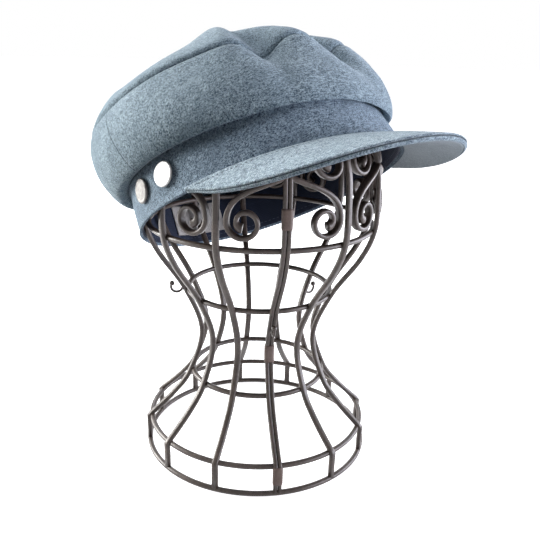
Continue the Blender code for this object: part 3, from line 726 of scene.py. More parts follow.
def build_wool_group():
    group, start, end = node_group(
        "Heathered wool",
        [("Light fibres", "NodeSocketColor", (0.3, 0.4, 0.45, 1.0)),
         ("Dark fibres", "NodeSocketColor", (0.06, 0.09, 0.12, 1.0)),
         ("Faded", "NodeSocketColor", (0.25, 0.33, 0.38, 1.0)),
         ("Fading", "NodeSocketFloat", 0.5)],
        [("Color", "NodeSocketColor"), ("Height", "NodeSocketFloat")])
    nodes, links = group.nodes, group.links
    where = nodes.new("ShaderNodeTexCoord").outputs["Object"]
    lie = nodes.new("ShaderNodeMapping")
    lie.inputs["Rotation"].default_value = HAIR_TURN
    lie.inputs["Scale"].default_value = HAIR_SCALE
    links.new(where, lie.inputs["Vector"])
    mixed = 0.0
    for name, (scale, detail, roughness, weight) in WOOL_NOISES.items():
        spot = lie.outputs["Vector"] if name == "hairs" else where
        layer = noise_node(nodes, links, spot, scale, detail, roughness)
        layer = math_node(nodes, links, "MULTIPLY", layer, weight)
        mixed = math_node(nodes, links, "ADD", layer, mixed)
    heather = ramp_node(nodes, links, mixed, HEATHER_LOW, HEATHER_HIGH)
    colour = mix_colours(nodes, links, heather, start.outputs["Dark fibres"],
                         start.outputs["Light fibres"])
    patch = noise_node(nodes, links, where, *FADED_PATCHES)
    patch = ramp_node(nodes, links, patch, FADED_LOW, FADED_HIGH)
    patch = math_node(nodes, links, "MULTIPLY", patch, start.outputs["Fading"])
    links.new(mix_colours(nodes, links, patch, colour, start.outputs["Faded"]),
              end.inputs["Color"])
    links.new(mixed, end.inputs["Height"])
    return group


WOOL_GROUP = build_wool_group()

# %% [markdown]
# Each material holds its own Principled shader and places the group in it. The wool's sheen is
# a constant, so it is set on the shader's own socket. Bump takes the group's height and turns it
# into the fuzz that catches the light. A seam is a thin line of painted shade and a groove in that
# height, at a place on the cloth: two run up the wall at its sides, one lies on the edge between
# wall and tip, and one runs round the peak's rim.

# %% Wool materials
FUZZ = 0.0009
SEAM_GROOVE = 1.4
WOOL_ROUGHNESS = 0.94
WOOL_SHADER = {
    "Sheen Weight": 0.35, "Sheen Roughness": 0.45, "Sheen Tint": (0.75, 0.85, 0.92, 1.0),
    "Specular IOR Level": 0.08,
}


def new_material(name, roughness, metallic=0.0):
    made = bpy.data.materials.new(name)
    made.use_nodes = True
    shader = made.node_tree.nodes["Principled BSDF"]
    shader.inputs["Roughness"].default_value = roughness
    shader.inputs["Metallic"].default_value = metallic
    return made, made.node_tree.nodes, made.node_tree.links, shader


def add_bump(nodes, links, height, shader, distance):
    bump = nodes.new("ShaderNodeBump")
    bump.inputs["Distance"].default_value = distance
    links.new(height, bump.inputs["Height"])
    links.new(bump.outputs["Normal"], shader.inputs["Normal"])


def seam_shade_and_groove(nodes, links, seam):
    """How much painted shade and groove a seam gives each spot: a seam has an axis of the cloth, a
    place and a lean.
    """
    axis, place, lean, half_width, dark = seam
    other = "Y" if axis == "X" else "X"
    spot = nodes.new("ShaderNodeSeparateXYZ")
    uv = nodes.new("ShaderNodeUVMap")
    uv.uv_map = "cloth"
    links.new(uv.outputs["UV"], spot.inputs[0])
    leaning = math_node(nodes, links, "MULTIPLY", spot.outputs[other], lean)
    away = math_node(nodes, links, "ADD", spot.outputs[axis], leaning)
    away = math_node(nodes, links, "SUBTRACT", away, place)
    away = math_node(nodes, links, "ABSOLUTE", away, 0.0)
    return math_node(nodes, links, "MULTIPLY", ramp_node(nodes, links, away, half_width, 0.0), dark)


def wool_material(name, light, dark, faded, fading, seams=()):
    made, nodes, links, shader = new_material(name, WOOL_ROUGHNESS)
    for socket, value in WOOL_SHADER.items():
        shader.inputs[socket].default_value = value
    wool = place_group(nodes, WOOL_GROUP, {
        "Light fibres": light, "Dark fibres": dark, "Faded": faded, "Fading": fading})
    colour, height = wool["Color"], wool["Height"]
    for row in seams:
        # Each seam paints shade into its groove: the colour runs towards the dark fibres, and the
        # height sinks.
        seam = seam_shade_and_groove(nodes, links, row)
        colour = mix_colours(nodes, links, seam, colour, (*dark, 1.0))
        groove = math_node(nodes, links, "MULTIPLY", seam, SEAM_GROOVE)
        height = math_node(nodes, links, "SUBTRACT", height, groove)
    links.new(colour, shader.inputs["Base Color"])
    add_bump(nodes, links, height, shader, FUZZ)
    return made


def row_share(row, outer_rows):
    """A row's place on a hoop of cloth, which has an outer and an inner layer and two hems."""
    return row / (2 * outer_rows + 2 * len(HEM_TURNS))


HEM_MIDDLE = (len(HEM_TURNS) + 1) // 2
RIM_CORNER = len(PEAK_STATIONS) - 1 + RIM_SEAM / math.pi * (len(RIM_TURNS) + 1)
RIM_CORNERS = 2 * len(PEAK_STATIONS) + len(RIM_TURNS) + 1
WALL_SEAMS = [
    # axis place lean half shade
    ("X", 86.0 / 360.0, 0.030, 0.0011, 0.45),
    ("X", 274.0 / 360.0, -0.030, 0.0011, 0.45),
    ("Y", row_share(WALL_ROWS + HEM_MIDDLE, WALL_ROWS + 1), 0.0, 0.013, 0.65),
]
TIP_SEAMS = [("Y", (TIP_ROWS + 1) / (2 * TIP_ROWS + len(HEM_TURNS)), 0.0, 0.015, 0.65)]
PEAK_SEAMS = [("X", RIM_CORNER / RIM_CORNERS, 0.0, 0.019, 0.90)]
wall_wool = wool_material("wall wool", (0.500, 0.630, 0.710), (0.026, 0.044, 0.062),
                          (0.105, 0.148, 0.185), 0.30, WALL_SEAMS)
# The tip is the crown's own wool in darker colours than the wall's: painted shade on the top, which the
# lamps above and behind light most.
tip_wool_painted_shade = wool_material("tip wool with painted shade", (0.410, 0.525, 0.600), (0.040, 0.062, 0.082),
                         (0.105, 0.148, 0.185), 0.30, TIP_SEAMS)
band_wool = wool_material("band wool", (0.460, 0.590, 0.710), (0.020, 0.034, 0.054),
                          (0.096, 0.132, 0.178), 0.35)
peak_wool = wool_material("peak wool", (0.720, 0.860, 0.950), (0.040, 0.064, 0.086),
                          (0.190, 0.250, 0.295), 0.35, PEAK_SEAMS)
underside_wool = wool_material("underside wool", (0.760, 0.830, 0.880), (0.400, 0.460, 0.500),
                               (0.660, 0.720, 0.765), 0.40)
wools = (wall_wool, tip_wool_painted_shade, band_wool, peak_wool, underside_wool)
print("wools:", ", ".join(wool.name for wool in wools))

# %% [markdown]
# The sweatband and the label are woven, so they share a second group: two crossing sets of
# waves, read from the piece's own UV map, so that the threads run along the strip.

# %% Woven materials
WHOLE_TURN = 2.0 * math.pi
SLANT_DEPTH, CROSS_DEPTH = 0.35, 0.15
WEAVE_RELIEF, WOVEN_SHINE = 0.0002, 0.25


def build_weave_group():
    group, start, end = node_group(
        "Twill weave",
        [("Thread", "NodeSocketColor", (0.02, 0.03, 0.06, 1.0)),
         ("Gap", "NodeSocketColor", (0.004, 0.006, 0.012, 1.0)),
         ("Threads round", "NodeSocketFloat", 600.0),
         ("Threads up", "NodeSocketFloat", 60.0)],
        [("Color", "NodeSocketColor"), ("Height", "NodeSocketFloat")])
    nodes, links = group.nodes, group.links
    uv = nodes.new("ShaderNodeUVMap")
    uv.uv_map = "cloth"
    place = nodes.new("ShaderNodeSeparateXYZ")
    links.new(uv.outputs["UV"], place.inputs[0])
    across = math_node(nodes, links, "MULTIPLY", place.outputs["X"], start.outputs["Threads round"])
    upward = math_node(nodes, links, "MULTIPLY", place.outputs["Y"], start.outputs["Threads up"])
    slanted = math_node(nodes, links, "ADD", across, upward)
    height = 0.5
    for way, depth in ((slanted, SLANT_DEPTH), (upward, CROSS_DEPTH)):
        wave = math_node(nodes, links, "MULTIPLY", way, WHOLE_TURN)
        wave = math_node(nodes, links, "SINE", wave, 0.0)
        wave = math_node(nodes, links, "MULTIPLY", wave, depth)
        height = math_node(nodes, links, "ADD", wave, height)
    links.new(mix_colours(nodes, links, height, start.outputs["Gap"], start.outputs["Thread"]),
              end.inputs["Color"])
    links.new(height, end.inputs["Height"])
    return group


WEAVE_GROUP = build_weave_group()


def woven_material(name, thread, gap, threads_round, threads_up, roughness):
    made, nodes, links, shader = new_material(name, roughness)
    shader.inputs["Specular IOR Level"].default_value = WOVEN_SHINE
    weave = place_group(nodes, WEAVE_GROUP, {
        "Thread": thread, "Gap": gap, "Threads round": threads_round, "Threads up": threads_up})
    links.new(weave["Color"], shader.inputs["Base Color"])
    add_bump(nodes, links, weave["Height"], shader, WEAVE_RELIEF)
    return made


navy_twill = woven_material("navy twill", (0.017, 0.026, 0.055), (0.006, 0.009, 0.020), 700, 60, 0.72)
label_tape = woven_material("label tape", (0.62, 0.59, 0.56), (0.40, 0.38, 0.36), 90, 70, 0.80)
print("woven:", navy_twill.name, "and", label_tape.name)

# %% [markdown]
# Both metals are uneven: the stand's dark bronze finish is slightly grainy and rubbed, and the
# silver buttons are brushed and faintly tarnished; the back ones are a darker copy, painted shade
# with a little more tarnish. They share one group for colour and roughness, at different scales,
# and so does the sewing thread, which isn't metal but is as uneven.

# %% Metal materials
RUBBED_LOW, RUBBED_HIGH = 0.66, 0.98
GRAIN_SHARE = 0.5
PATCH_DETAIL, GRAIN_DETAIL = 4.0, 3.0


def build_metal_group():
    group, start, end = node_group(
        "Worn finish",
        [("Finish", "NodeSocketColor", (0.08, 0.06, 0.05, 1.0)),
         ("Rubbed", "NodeSocketColor", (0.2, 0.17, 0.15, 1.0)),
         ("Grain size", "NodeSocketFloat", 300.0),
         ("Patch size", "NodeSocketFloat", 42.0),
         ("Roughness low", "NodeSocketFloat", 0.35),
         ("Roughness high", "NodeSocketFloat", 0.6)],
        [("Color", "NodeSocketColor"), ("Roughness", "NodeSocketFloat"),
         ("Height", "NodeSocketFloat")])
    nodes, links = group.nodes, group.links
    where = nodes.new("ShaderNodeTexCoord").outputs["Object"]
    patches = noise_node(nodes, links, where, start.outputs["Patch size"], PATCH_DETAIL)
    grain = noise_node(nodes, links, where, start.outputs["Grain size"], GRAIN_DETAIL)
    mottled = math_node(nodes, links, "MULTIPLY", grain, GRAIN_SHARE)
    mottled = math_node(nodes, links, "ADD", patches, mottled)
    rubbed = ramp_node(nodes, links, mottled, RUBBED_LOW, RUBBED_HIGH)
    links.new(mix_colours(nodes, links, rubbed, start.outputs["Finish"], start.outputs["Rubbed"]),
              end.inputs["Color"])
    spread = math_node(nodes, links, "SUBTRACT", start.outputs["Roughness high"],
                       start.outputs["Roughness low"])
    rough = math_node(nodes, links, "ADD", start.outputs["Roughness low"],
                      math_node(nodes, links, "MULTIPLY", spread, grain))
    links.new(rough, end.inputs["Roughness"])
    links.new(grain, end.inputs["Height"])
    return group


METAL_GROUP = build_metal_group()


def metal_material(name, finish, rubbed, grain_size, patch_size, low, high, metallic, relief,
                   shine=0.5):
    made, nodes, links, shader = new_material(name, high, metallic)
    shader.inputs["Specular IOR Level"].default_value = shine
    metal = place_group(nodes, METAL_GROUP, {
        "Finish": finish, "Rubbed": rubbed, "Grain size": grain_size, "Patch size": patch_size,
        "Roughness low": low, "Roughness high": high})
    links.new(metal["Color"], shader.inputs["Base Color"])
    links.new(metal["Roughness"], shader.inputs["Roughness"])
    add_bump(nodes, links, metal["Height"], shader, relief)
    return made


stand_bronze = metal_material("stand bronze", (0.036, 0.025, 0.020), (0.085, 0.064, 0.054),
                              700.0, 60.0, 0.26, 0.46, 0.05, 0.00010, 0.42)
collar_bronze = metal_material("collar bronze", (0.085, 0.055, 0.045), (0.130, 0.094, 0.080),
                               900.0, 60.0, 0.40, 0.62, 0.05, 0.00012, 0.40)
bright_silver = metal_material("bright silver", (0.46, 0.455, 0.45), (0.34, 0.335, 0.33),
                               520.0, 150.0, 0.34, 0.52, 0.60, 0.00006)
# The back buttons' silver is a darker copy of the front ones', rougher and a little more tarnished: its
# darkness is mostly painted shade.
dull_shaded_silver = metal_material("dull silver with painted shade", (0.150, 0.144, 0.138), (0.062, 0.058, 0.055),
                             700.0, 330.0, 0.46, 0.70, 0.60, 0.00008)
blue_thread = metal_material("blue thread", (0.028, 0.040, 0.054), (0.055, 0.072, 0.090),
                             2400.0, 500.0, 0.60, 0.85, 0.0, 0.00003)
navy_thread = metal_material("navy thread", (0.035, 0.045, 0.075), (0.060, 0.072, 0.105),
                             2400.0, 500.0, 0.60, 0.85, 0.0, 0.00003)
metals = (stand_bronze, collar_bronze, bright_silver, dull_shaded_silver)
print("metals:", ", ".join(metal.name for metal in metals))

# %% [markdown]
# The stand is a cage of flat bars with rounded edges. Eleven of its twelve ribs are the same bar
# at eleven turns, so only one is drawn and Geometry Nodes copies it round the axis. The tree ends
# in Realize Instances, because a copy that isn't real geometry is lost in an export, and in Set
# Material, which gives the copies their finish.

# %% Geometry Nodes helpers
def geometry_tree(name, inputs):
    """A tree that takes and gives geometry, with named inputs, and its two end nodes."""
    tree = bpy.data.node_groups.new(name, "GeometryNodeTree")
    tree.interface.new_socket("Geometry", in_out="INPUT", socket_type="NodeSocketGeometry")
    for label, kind, value in inputs:
        socket = tree.interface.new_socket(label, in_out="INPUT", socket_type=kind)
        if value is not None:
            socket.default_value = value
    tree.interface.new_socket("Geometry", in_out="OUTPUT", socket_type="NodeSocketGeometry")
    return tree, tree.nodes.new("NodeGroupInput"), tree.nodes.new("NodeGroupOutput")


def end_tree(tree, geometry, start, end):
    """Makes the copies real and gives them their finish."""
    real = tree.nodes.new("GeometryNodeRealizeInstances")
    finish = tree.nodes.new("GeometryNodeSetMaterial")
    tree.links.new(geometry, real.inputs["Geometry"])
    tree.links.new(real.outputs["Geometry"], finish.inputs["Geometry"])
    tree.links.new(start.outputs["Finish"], finish.inputs["Material"])
    tree.links.new(finish.outputs["Geometry"], end.inputs["Geometry"])


def grown(name, source, tree, values):
    """The plain mesh that a tree makes from a source object, which is then removed."""
    modifier = source.modifiers.new("grow", "NODES")
    modifier.node_group = tree
    sockets = {item.name: item.identifier for item in tree.interface.items_tree
               if item.in_out == "INPUT"}
    for label, value in values.items():
        modifier[sockets[label]] = value
    evaluated = source.evaluated_get(bpy.context.evaluated_depsgraph_get())
    mesh = bpy.data.meshes.new_from_object(evaluated)
    mesh.name = name
    piece = add_object(name, mesh)
    bpy.data.objects.remove(source, do_unlink=True)
    print(name, len(mesh.polygons), "faces")
    return piece


def moved(piece, place):
    """Moves a piece's mesh, and leaves its object at the origin."""
    piece.data.transform(Matrix.Translation(Vector(place)))
    return piece


def build_round_tree():
    tree, start, end = geometry_tree("Copies round the axis", [
        ("Copies", "NodeSocketInt", 12), ("Step", "NodeSocketFloat", math.radians(30.0)),
        ("Finish", "NodeSocketMaterial", None)])
    nodes, links = tree.nodes, tree.links
    points = nodes.new("GeometryNodePoints")
    links.new(start.outputs["Copies"], points.inputs["Count"])
    index = nodes.new("GeometryNodeInputIndex")
    turn = nodes.new("ShaderNodeMath")
    turn.operation = "MULTIPLY"
    links.new(index.outputs[0], turn.inputs[0])
    links.new(start.outputs["Step"], turn.inputs[1])
    turns = nodes.new("ShaderNodeCombineXYZ")
    links.new(turn.outputs[0], turns.inputs["Z"])
    copies = nodes.new("GeometryNodeInstanceOnPoints")
    links.new(points.outputs[0], copies.inputs["Points"])
    links.new(start.outputs["Geometry"], copies.inputs["Instance"])
    links.new(turns.outputs[0], copies.inputs["Rotation"])
    end_tree(tree, copies.outputs["Instances"], start, end)
    return tree


ROUND_TREE = build_round_tree()

# %% [markdown]
# Most bars of the stand have the same kind of section, a rectangle with rounded edges, which is
# swept along a line. The ribs' line is a table of heights and radii, and five of its rows name
# the ring that lies there.

# %% Sizes of the stand, and one bar swept along a line
RIB_COUNT, RIB_WIDTH, RIB_DEPTH = 12, 0.0045, 0.0036
FIRST_RIB = math.radians(-26.5) - math.pi / 2
RING_BAR, WELD = 0.0038, 0.0012
HUB_RADIUS, HUB_THICKNESS = 0.0130, 0.0040
RIB_LEAN_LEVEL = 0.2748
RIB_LINE = [
    # height  radius  ring
    (0.0000, 0.0825, "foot"),
    (0.0197, 0.0828, "skirt"),
    (0.0380, 0.0640, ""),
    (0.0560, 0.0512, "shin"),
    (0.0883, 0.0425, ""),
    (0.1208, 0.0543, "neck"),
    (0.1500, 0.0735, ""),
    (0.1711, 0.0820, "brow"),
    (0.1939, 0.0828, ""),
    (0.2186, 0.0805, ""),
    (0.2400, 0.0715, ""),
    (0.2600, 0.0560, ""),
    (0.2748, 0.0360, ""),
    (0.2820, 0.0190, ""),
    (0.2845, 0.0080, ""),
]
RIB_STEPS, RIB_CURVE_STEPS = 90, 400
ROUNDING, SECTION_TURNS = 0.42, 5


def rounded_section(width, depth):
    """Corners of a bar's section with rounded edges: across, and out from the cage."""
    reach = ROUNDING * min(width, depth)
    points = []
    for side, front, first in ((1, 1, 0), (-1, 1, 90), (-1, -1, 180), (1, -1, 270)):
        for step in np.linspace(0.0, 90.0, SECTION_TURNS):
            turn = math.radians(first + step)
            points.append((side * (width / 2 - reach) + reach * math.cos(turn),
                           front * (depth / 2 - reach) + reach * math.sin(turn)))
    return points


def swept(name, line, sections, faces_out):
    """A closed bar along a line, with a section of its own at each point."""
    line = np.array(line, float)
    runs = unit(np.gradient(line, axis=0))
    loops = []
    for place, run, section in zip(line, runs, sections):
        out = np.array(faces_out(place), float)
        out = unit(out - run * np.dot(out, run))
        side = np.cross(run, out)
        loops.append([place + side * across + out * deep for across, deep in section])
    return capped_tube(name, loops)


def smooth_ribs(steps):
    """Heights and radii of the ribs' smooth line, from the skirt ring up."""
    return read_table([row[:2] for row in RIB_LINE[1:]], np.linspace(0.0, 1.0, steps))


RIB_CURVE = np.array([RIB_LINE[0][:2], *smooth_ribs(RIB_CURVE_STEPS)])


def cage_radius(height):
    return float(np.interp(height, RIB_CURVE[:, 0], RIB_CURVE[:, 1]))


def on_cage(turn, height, out=0.0):
    radius = cage_radius(height) + out
    return (radius * math.cos(turn), radius * math.sin(turn), height)


def away_from_axis(point):
    return (point[0], point[1], 0.0)


def rib_bar(name, width, across=0.0):
    """A rib at turn 0, or one of two thin bars beside each other there."""
    skirt_middle = (RIB_LINE[1][0] / 2, RIB_LINE[0][1])
    line = [RIB_LINE[0][:2], skirt_middle, *smooth_ribs(RIB_STEPS)]
    points = [(radius, across, height) for height, radius in line]
    sections = [rounded_section(width, RIB_DEPTH)] * len(points)
    return swept(name, points, sections,
                 lambda place: (1.0, 0.0, 1.0 if place[2] > RIB_LEAN_LEVEL else 0.0))


def turned(piece, turn):
    piece.data.transform(Matrix.Rotation(turn, 4, "Z"))
    return piece


def placed(piece):
    """Puts a piece of the stand in its place: turned to the first rib, over the foot's centre."""
    turned(piece, FIRST_RIB)
    return moved(piece, STAND_PLACE + np.array([0.0, 0.0, RING_BAR / 2]))


RIB_STEP = 2.0 * math.pi / RIB_COUNT
FRONT_BAR, FRONT_GAP = 0.0028, 0.0002
second_rib = turned(rib_bar("second_rib", RIB_WIDTH), RIB_STEP)
stand_ribs = placed(grown("stand_ribs", second_rib, ROUND_TREE, {
    "Copies": RIB_COUNT - 1, "Step": RIB_STEP, "Finish": stand_bronze}))

# %% [markdown]
# The front rib is where the cage's two halves meet, so it is two thin bars side by side, with
# a dark line between them.

# %% The doubled front rib
def join(pieces, name):
    """Several objects made one mesh object."""
    work = bmesh.new()
    for piece in pieces:
        work.from_mesh(piece.data)
        bpy.data.objects.remove(piece, do_unlink=True)
    mesh = bpy.data.meshes.new(name)
    work.to_mesh(mesh)
    work.free()
    mesh.shade_smooth()
    return add_object(name, mesh)


half_apart = (FRONT_BAR + FRONT_GAP) / 2
halves = [rib_bar(f"front_half_{side}", FRONT_BAR, side * half_apart) for side in (-1, 1)]
stand_front_rib = placed(join(halves, "stand_front_rib"))

# %% [markdown]
# Rings follow the simplest rule of all: a round bar bent into a circle. A second tree draws the
# circle as a curve and gives it a section, so one size table serves all five rings.

# %% Rings
RING_SIDES = 180
BAR_SIDES = 14


def build_ring_tree():
    tree, start, end = geometry_tree("Ring of round bar", [
        ("Radius", "NodeSocketFloat", 0.08), ("Bar", "NodeSocketFloat", 0.004),
        ("Height", "NodeSocketFloat", 0.0), ("Finish", "NodeSocketMaterial", None)])
    nodes, links = tree.nodes, tree.links
    circle = nodes.new("GeometryNodeCurvePrimitiveCircle")
    circle.inputs["Resolution"].default_value = RING_SIDES
    links.new(start.outputs["Radius"], circle.inputs["Radius"])
    section = nodes.new("GeometryNodeCurvePrimitiveCircle")
    section.inputs["Resolution"].default_value = BAR_SIDES
    half = nodes.new("ShaderNodeMath")
    half.operation = "MULTIPLY"
    half.inputs[1].default_value = 0.5
    links.new(start.outputs["Bar"], half.inputs[0])
    links.new(half.outputs[0], section.inputs["Radius"])
    bent = nodes.new("GeometryNodeCurveToMesh")
    links.new(circle.outputs["Curve"], bent.inputs["Curve"])
    links.new(section.outputs["Curve"], bent.inputs["Profile Curve"])
    lift = nodes.new("GeometryNodeSetPosition")
    offset = nodes.new("ShaderNodeCombineXYZ")
    links.new(start.outputs["Height"], offset.inputs["Z"])
    links.new(bent.outputs["Mesh"], lift.inputs["Geometry"])
    links.new(offset.outputs[0], lift.inputs["Offset"])
    end_tree(tree, lift.outputs["Geometry"], start, end)
    return tree


RING_TREE = build_ring_tree()
stand_rings = []
for height, radius, name in RIB_LINE:
    if name:
        lying = radius if name == "foot" else radius - (RIB_DEPTH + RING_BAR) / 2 + WELD
        source = new_piece(f"{name}_source", [(0.0, 0.0, 0.0)], [])
        ring = grown(f"stand_{name}_ring", source, RING_TREE, {
            "Radius": lying, "Bar": RING_BAR, "Height": height, "Finish": stand_bronze})
        ring.data.shade_smooth()
        stand_rings.append(moved(turn_outwards(ring), STAND_PLACE + np.array([0, 0, RING_BAR / 2])))

# %% [markdown]
# Every second rib sends out a pair of scrolls: a flat ribbon that runs sideways and down, and
# then curls up on itself with a shrinking radius. It is drawn flat, as sideways distance and
# height, and bent onto the cage. A pair is drawn once, and the first tree makes six. A smaller
# set stands higher up, on the ribs between, where the cap hides most of it.

# %% Scrolls
SCROLL_BAR, SCROLL_RIBBON = 0.0034, 0.0056
SCROLL_SIZES = {
    # top reach drop radius eye
    "low": (0.2175, 0.0370, 0.0285, 0.0112, 0.0036),
    "high": (0.2480, 0.0240, 0.0235, 0.0104, 0.0036),
}
SCROLL_TURN = math.radians(430.0)
SCROLL_RUN = [
    # across drop
    (0.00, 0.00),
    (0.36, 0.24),
    (1.00, 0.32),
    (1.00, 1.00),
]
SCROLL_STEPS = (22, 64)
SCROLL_TAPER = 0.75
SCROLL_BULB = 1.0
SCROLL_BULB_START = 0.86


def scroll_line(reach, drop, radius, eye):
    """A scroll laid flat: sideways distance from its rib, and height above its start."""
    points = []
    for way in np.linspace(0.0, 1.0, SCROLL_STEPS[0])[:-1]:
        weights = ((1 - way) ** 3, 3 * way * (1 - way) ** 2, 3 * way ** 2 * (1 - way), way ** 3)
        points.append((reach * sum(w * row[0] for w, row in zip(weights, SCROLL_RUN)),
                       -drop * sum(w * row[1] for w, row in zip(weights, SCROLL_RUN))))
    for way in np.linspace(0.0, 1.0, SCROLL_STEPS[1]):
        turn = way * SCROLL_TURN
        curl = radius + (eye - radius) * way
        points.append((reach - radius + curl * math.cos(turn), -drop - curl * math.sin(turn)))
    return points


def cage_bar(name, flat_line, top):
    """A ribbon drawn flat and bent onto the cage, which thins along its way to a bulb."""
    points, sections = [], []
    for number, (across, up) in enumerate(flat_line):
        height = top + up
        inward = (RIB_DEPTH - SCROLL_RIBBON) / 2
        points.append(on_cage(across / cage_radius(height), height, inward))
        way = number / (len(flat_line) - 1)
        thin = 1.0 - (1.0 - SCROLL_TAPER) * way
        if way > SCROLL_BULB_START:
            thin += SCROLL_BULB * math.sin(math.pi / 2 * (way - SCROLL_BULB_START)
                                           / (1.0 - SCROLL_BULB_START))
        sections.append(rounded_section(SCROLL_BAR * thin, SCROLL_RIBBON))
    return swept(name, points, sections, away_from_axis)


def scroll_ring(name, size, first_turn):
    """Six pairs of scrolls, on every second rib."""
    top, *curl = SCROLL_SIZES[size]
    flat = scroll_line(*curl)
    pair = [cage_bar(f"{size}_scroll_{sign}", [(sign * across, up) for across, up in flat], top)
            for sign in (-1, 1)]
    first = turned(join(pair, f"{size}_pair"), first_turn)
    return placed(grown(name, first, ROUND_TREE, {
        "Copies": RIB_COUNT // 2, "Step": 2 * RIB_STEP, "Finish": stand_bronze}))


stand_scrolls = scroll_ring("stand_scrolls", "low", 0.0)
stand_high_scrolls = scroll_ring("stand_high_scrolls", "high", RIB_STEP)

# %% [markdown]
# The last parts of the stand are few: a domed hub where the ribs meet, three collars that clasp
# the front rib, and small hooks with ball ends.

# %% Hub, collars and hooks
HUB_SIDES = 96
HUB_PROFILE = [
    # radius height, as shares
    (0.90, -0.50), (1.00, -0.35), (1.00, 0.10), (0.92, 0.35), (0.70, 0.48), (0.35, 0.50),
]


def turned_profile(name, profile, radius, height, middle, sides):
    """A solid turned round an upright line, from shares of its radius and height."""
    turns = np.linspace(0.0, 2.0 * math.pi, sides, endpoint=False)
    rows = [[(middle[0] + reach * radius * math.cos(t), middle[1] + reach * radius * math.sin(t),
              middle[2] + up * height) for t in turns] for reach, up in profile]
    return capped_tube(name, rows)


stand_hub = placed(turned_profile("stand_hub", HUB_PROFILE, HUB_RADIUS, HUB_THICKNESS,
                                  (0.0, 0.0, RIB_LINE[-1][0]), HUB_SIDES))

COLLAR_WIDTH, COLLAR_HEIGHT, COLLAR_WALL = 0.0070, 0.0130, 0.0008
COLLAR_LEVELS = [0.0135, 0.0860, 0.1920]
COLLAR_STEPS, COLLAR_END = 13, 0.93


def collar(level):
    """A short sleeve round the rib, a little wider than it."""
    levels = np.linspace(level - COLLAR_HEIGHT / 2, level + COLLAR_HEIGHT / 2, COLLAR_STEPS)
    points = [on_cage(0.0, height) for height in levels]
    shares = [COLLAR_END, *[1.0] * (COLLAR_STEPS - 2), COLLAR_END]
    depth = RIB_DEPTH + 2 * COLLAR_WALL
    sections = [rounded_section(COLLAR_WIDTH * share, depth * share) for share in shares]
    return swept(f"collar_{level:.3f}", points, sections, away_from_axis)


stand_collars = placed(join([collar(level) for level in COLLAR_LEVELS], "stand_collars"))

HOOKS = [
    # rib  height
    (0, 0.1080),
    (4, 0.1080),
    (9, 0.1230),
]
HOOK_RADIUS, HOOK_BAR, HOOK_BALL = 0.0042, 0.0018, 0.0019
HOOK_TURN, HOOK_STEPS = math.radians(215.0), 24


def hook(rib, height):
    """A small upturned hook on a rib, ending in a ball."""
    turn = rib * RIB_STEP
    root = cage_radius(height) + (RIB_DEPTH - HOOK_BAR) / 2
    points = []
    for bend in np.linspace(0.0, HOOK_TURN, HOOK_STEPS):
        out = root + HOOK_RADIUS * (1.0 - math.cos(bend))
        points.append((out * math.cos(turn), out * math.sin(turn),
                       height - HOOK_RADIUS * math.sin(bend)))
    section = rounded_section(HOOK_BAR, HOOK_BAR)
    bar = swept(f"hook_{rib}", points, [section] * len(points),
                lambda place: (-math.sin(turn), math.cos(turn), 0.0))
    ball = bmesh.new()
    bmesh.ops.create_icosphere(ball, subdivisions=3, radius=HOOK_BALL,
                               matrix=Matrix.Translation(Vector(points[-1])))
    mesh = bpy.data.meshes.new(f"ball_{rib}")
    ball.to_mesh(mesh)
    ball.free()
    return [bar, add_object(f"ball_{rib}", mesh)]


stand_hooks = placed(join([part for row in HOOKS for part in hook(*row)], "stand_hooks"))

# %% [markdown]
# Stitches are the same small thread loop again and again along a seam. A third tree takes a line
# of points that each know which way is out of the cloth, spaces them evenly, and sets one
# flattened bead of thread on each, turned along the seam.

# %% A tree for stitches
BEAD_SEGMENTS, BEAD_RINGS = 8, 5


def build_stitch_tree():
    tree, start, end = geometry_tree("Stitches along a seam", [
        ("Pitch", "NodeSocketFloat", 0.003), ("Length", "NodeSocketFloat", 0.002),
        ("Thread", "NodeSocketFloat", 0.0004), ("Finish", "NodeSocketMaterial", None)])
    nodes, links = tree.nodes, tree.links
    curve = nodes.new("GeometryNodeMeshToCurve")
    links.new(start.outputs["Geometry"], curve.inputs["Mesh"])
    spaced = nodes.new("GeometryNodeResampleCurve")
    spaced.mode = "LENGTH"
    links.new(curve.outputs["Curve"], spaced.inputs["Curve"])
    links.new(start.outputs["Pitch"], spaced.inputs["Length"])
    tangent = nodes.new("GeometryNodeInputTangent")
    along = nodes.new("FunctionNodeAlignRotationToVector")
    along.axis = "X"
    links.new(tangent.outputs[0], along.inputs["Vector"])
    outward = nodes.new("GeometryNodeInputNamedAttribute")
    outward.data_type = "FLOAT_VECTOR"
    outward.inputs["Name"].default_value = "out"
    upright = nodes.new("FunctionNodeAlignRotationToVector")
    upright.axis = "Z"
    upright.pivot_axis = "X"
    links.new(along.outputs["Rotation"], upright.inputs["Rotation"])
    links.new(outward.outputs["Attribute"], upright.inputs["Vector"])
    bead = nodes.new("GeometryNodeMeshUVSphere")
    bead.inputs["Segments"].default_value = BEAD_SEGMENTS
    bead.inputs["Rings"].default_value = BEAD_RINGS
    bead.inputs["Radius"].default_value = 0.5
    size = nodes.new("ShaderNodeCombineXYZ")
    links.new(start.outputs["Length"], size.inputs["X"])
    links.new(start.outputs["Thread"], size.inputs["Y"])
    links.new(start.outputs["Thread"], size.inputs["Z"])
    copies = nodes.new("GeometryNodeInstanceOnPoints")
    links.new(spaced.outputs["Curve"], copies.inputs["Points"])
    links.new(bead.outputs["Mesh"], copies.inputs["Instance"])
    links.new(upright.outputs["Rotation"], copies.inputs["Rotation"])
    links.new(size.outputs[0], copies.inputs["Scale"])
    end_tree(tree, copies.outputs["Instances"], start, end)
    return tree


STITCH_TREE = build_stitch_tree()

# %% [markdown]
# Four seams show their stitches: the crown's wall just under the edge seam, the band's lower
# edge, the peak beside the band, and the sweatband's lower edge. The thread on wool is sunk a
# little, as it is in real cloth.

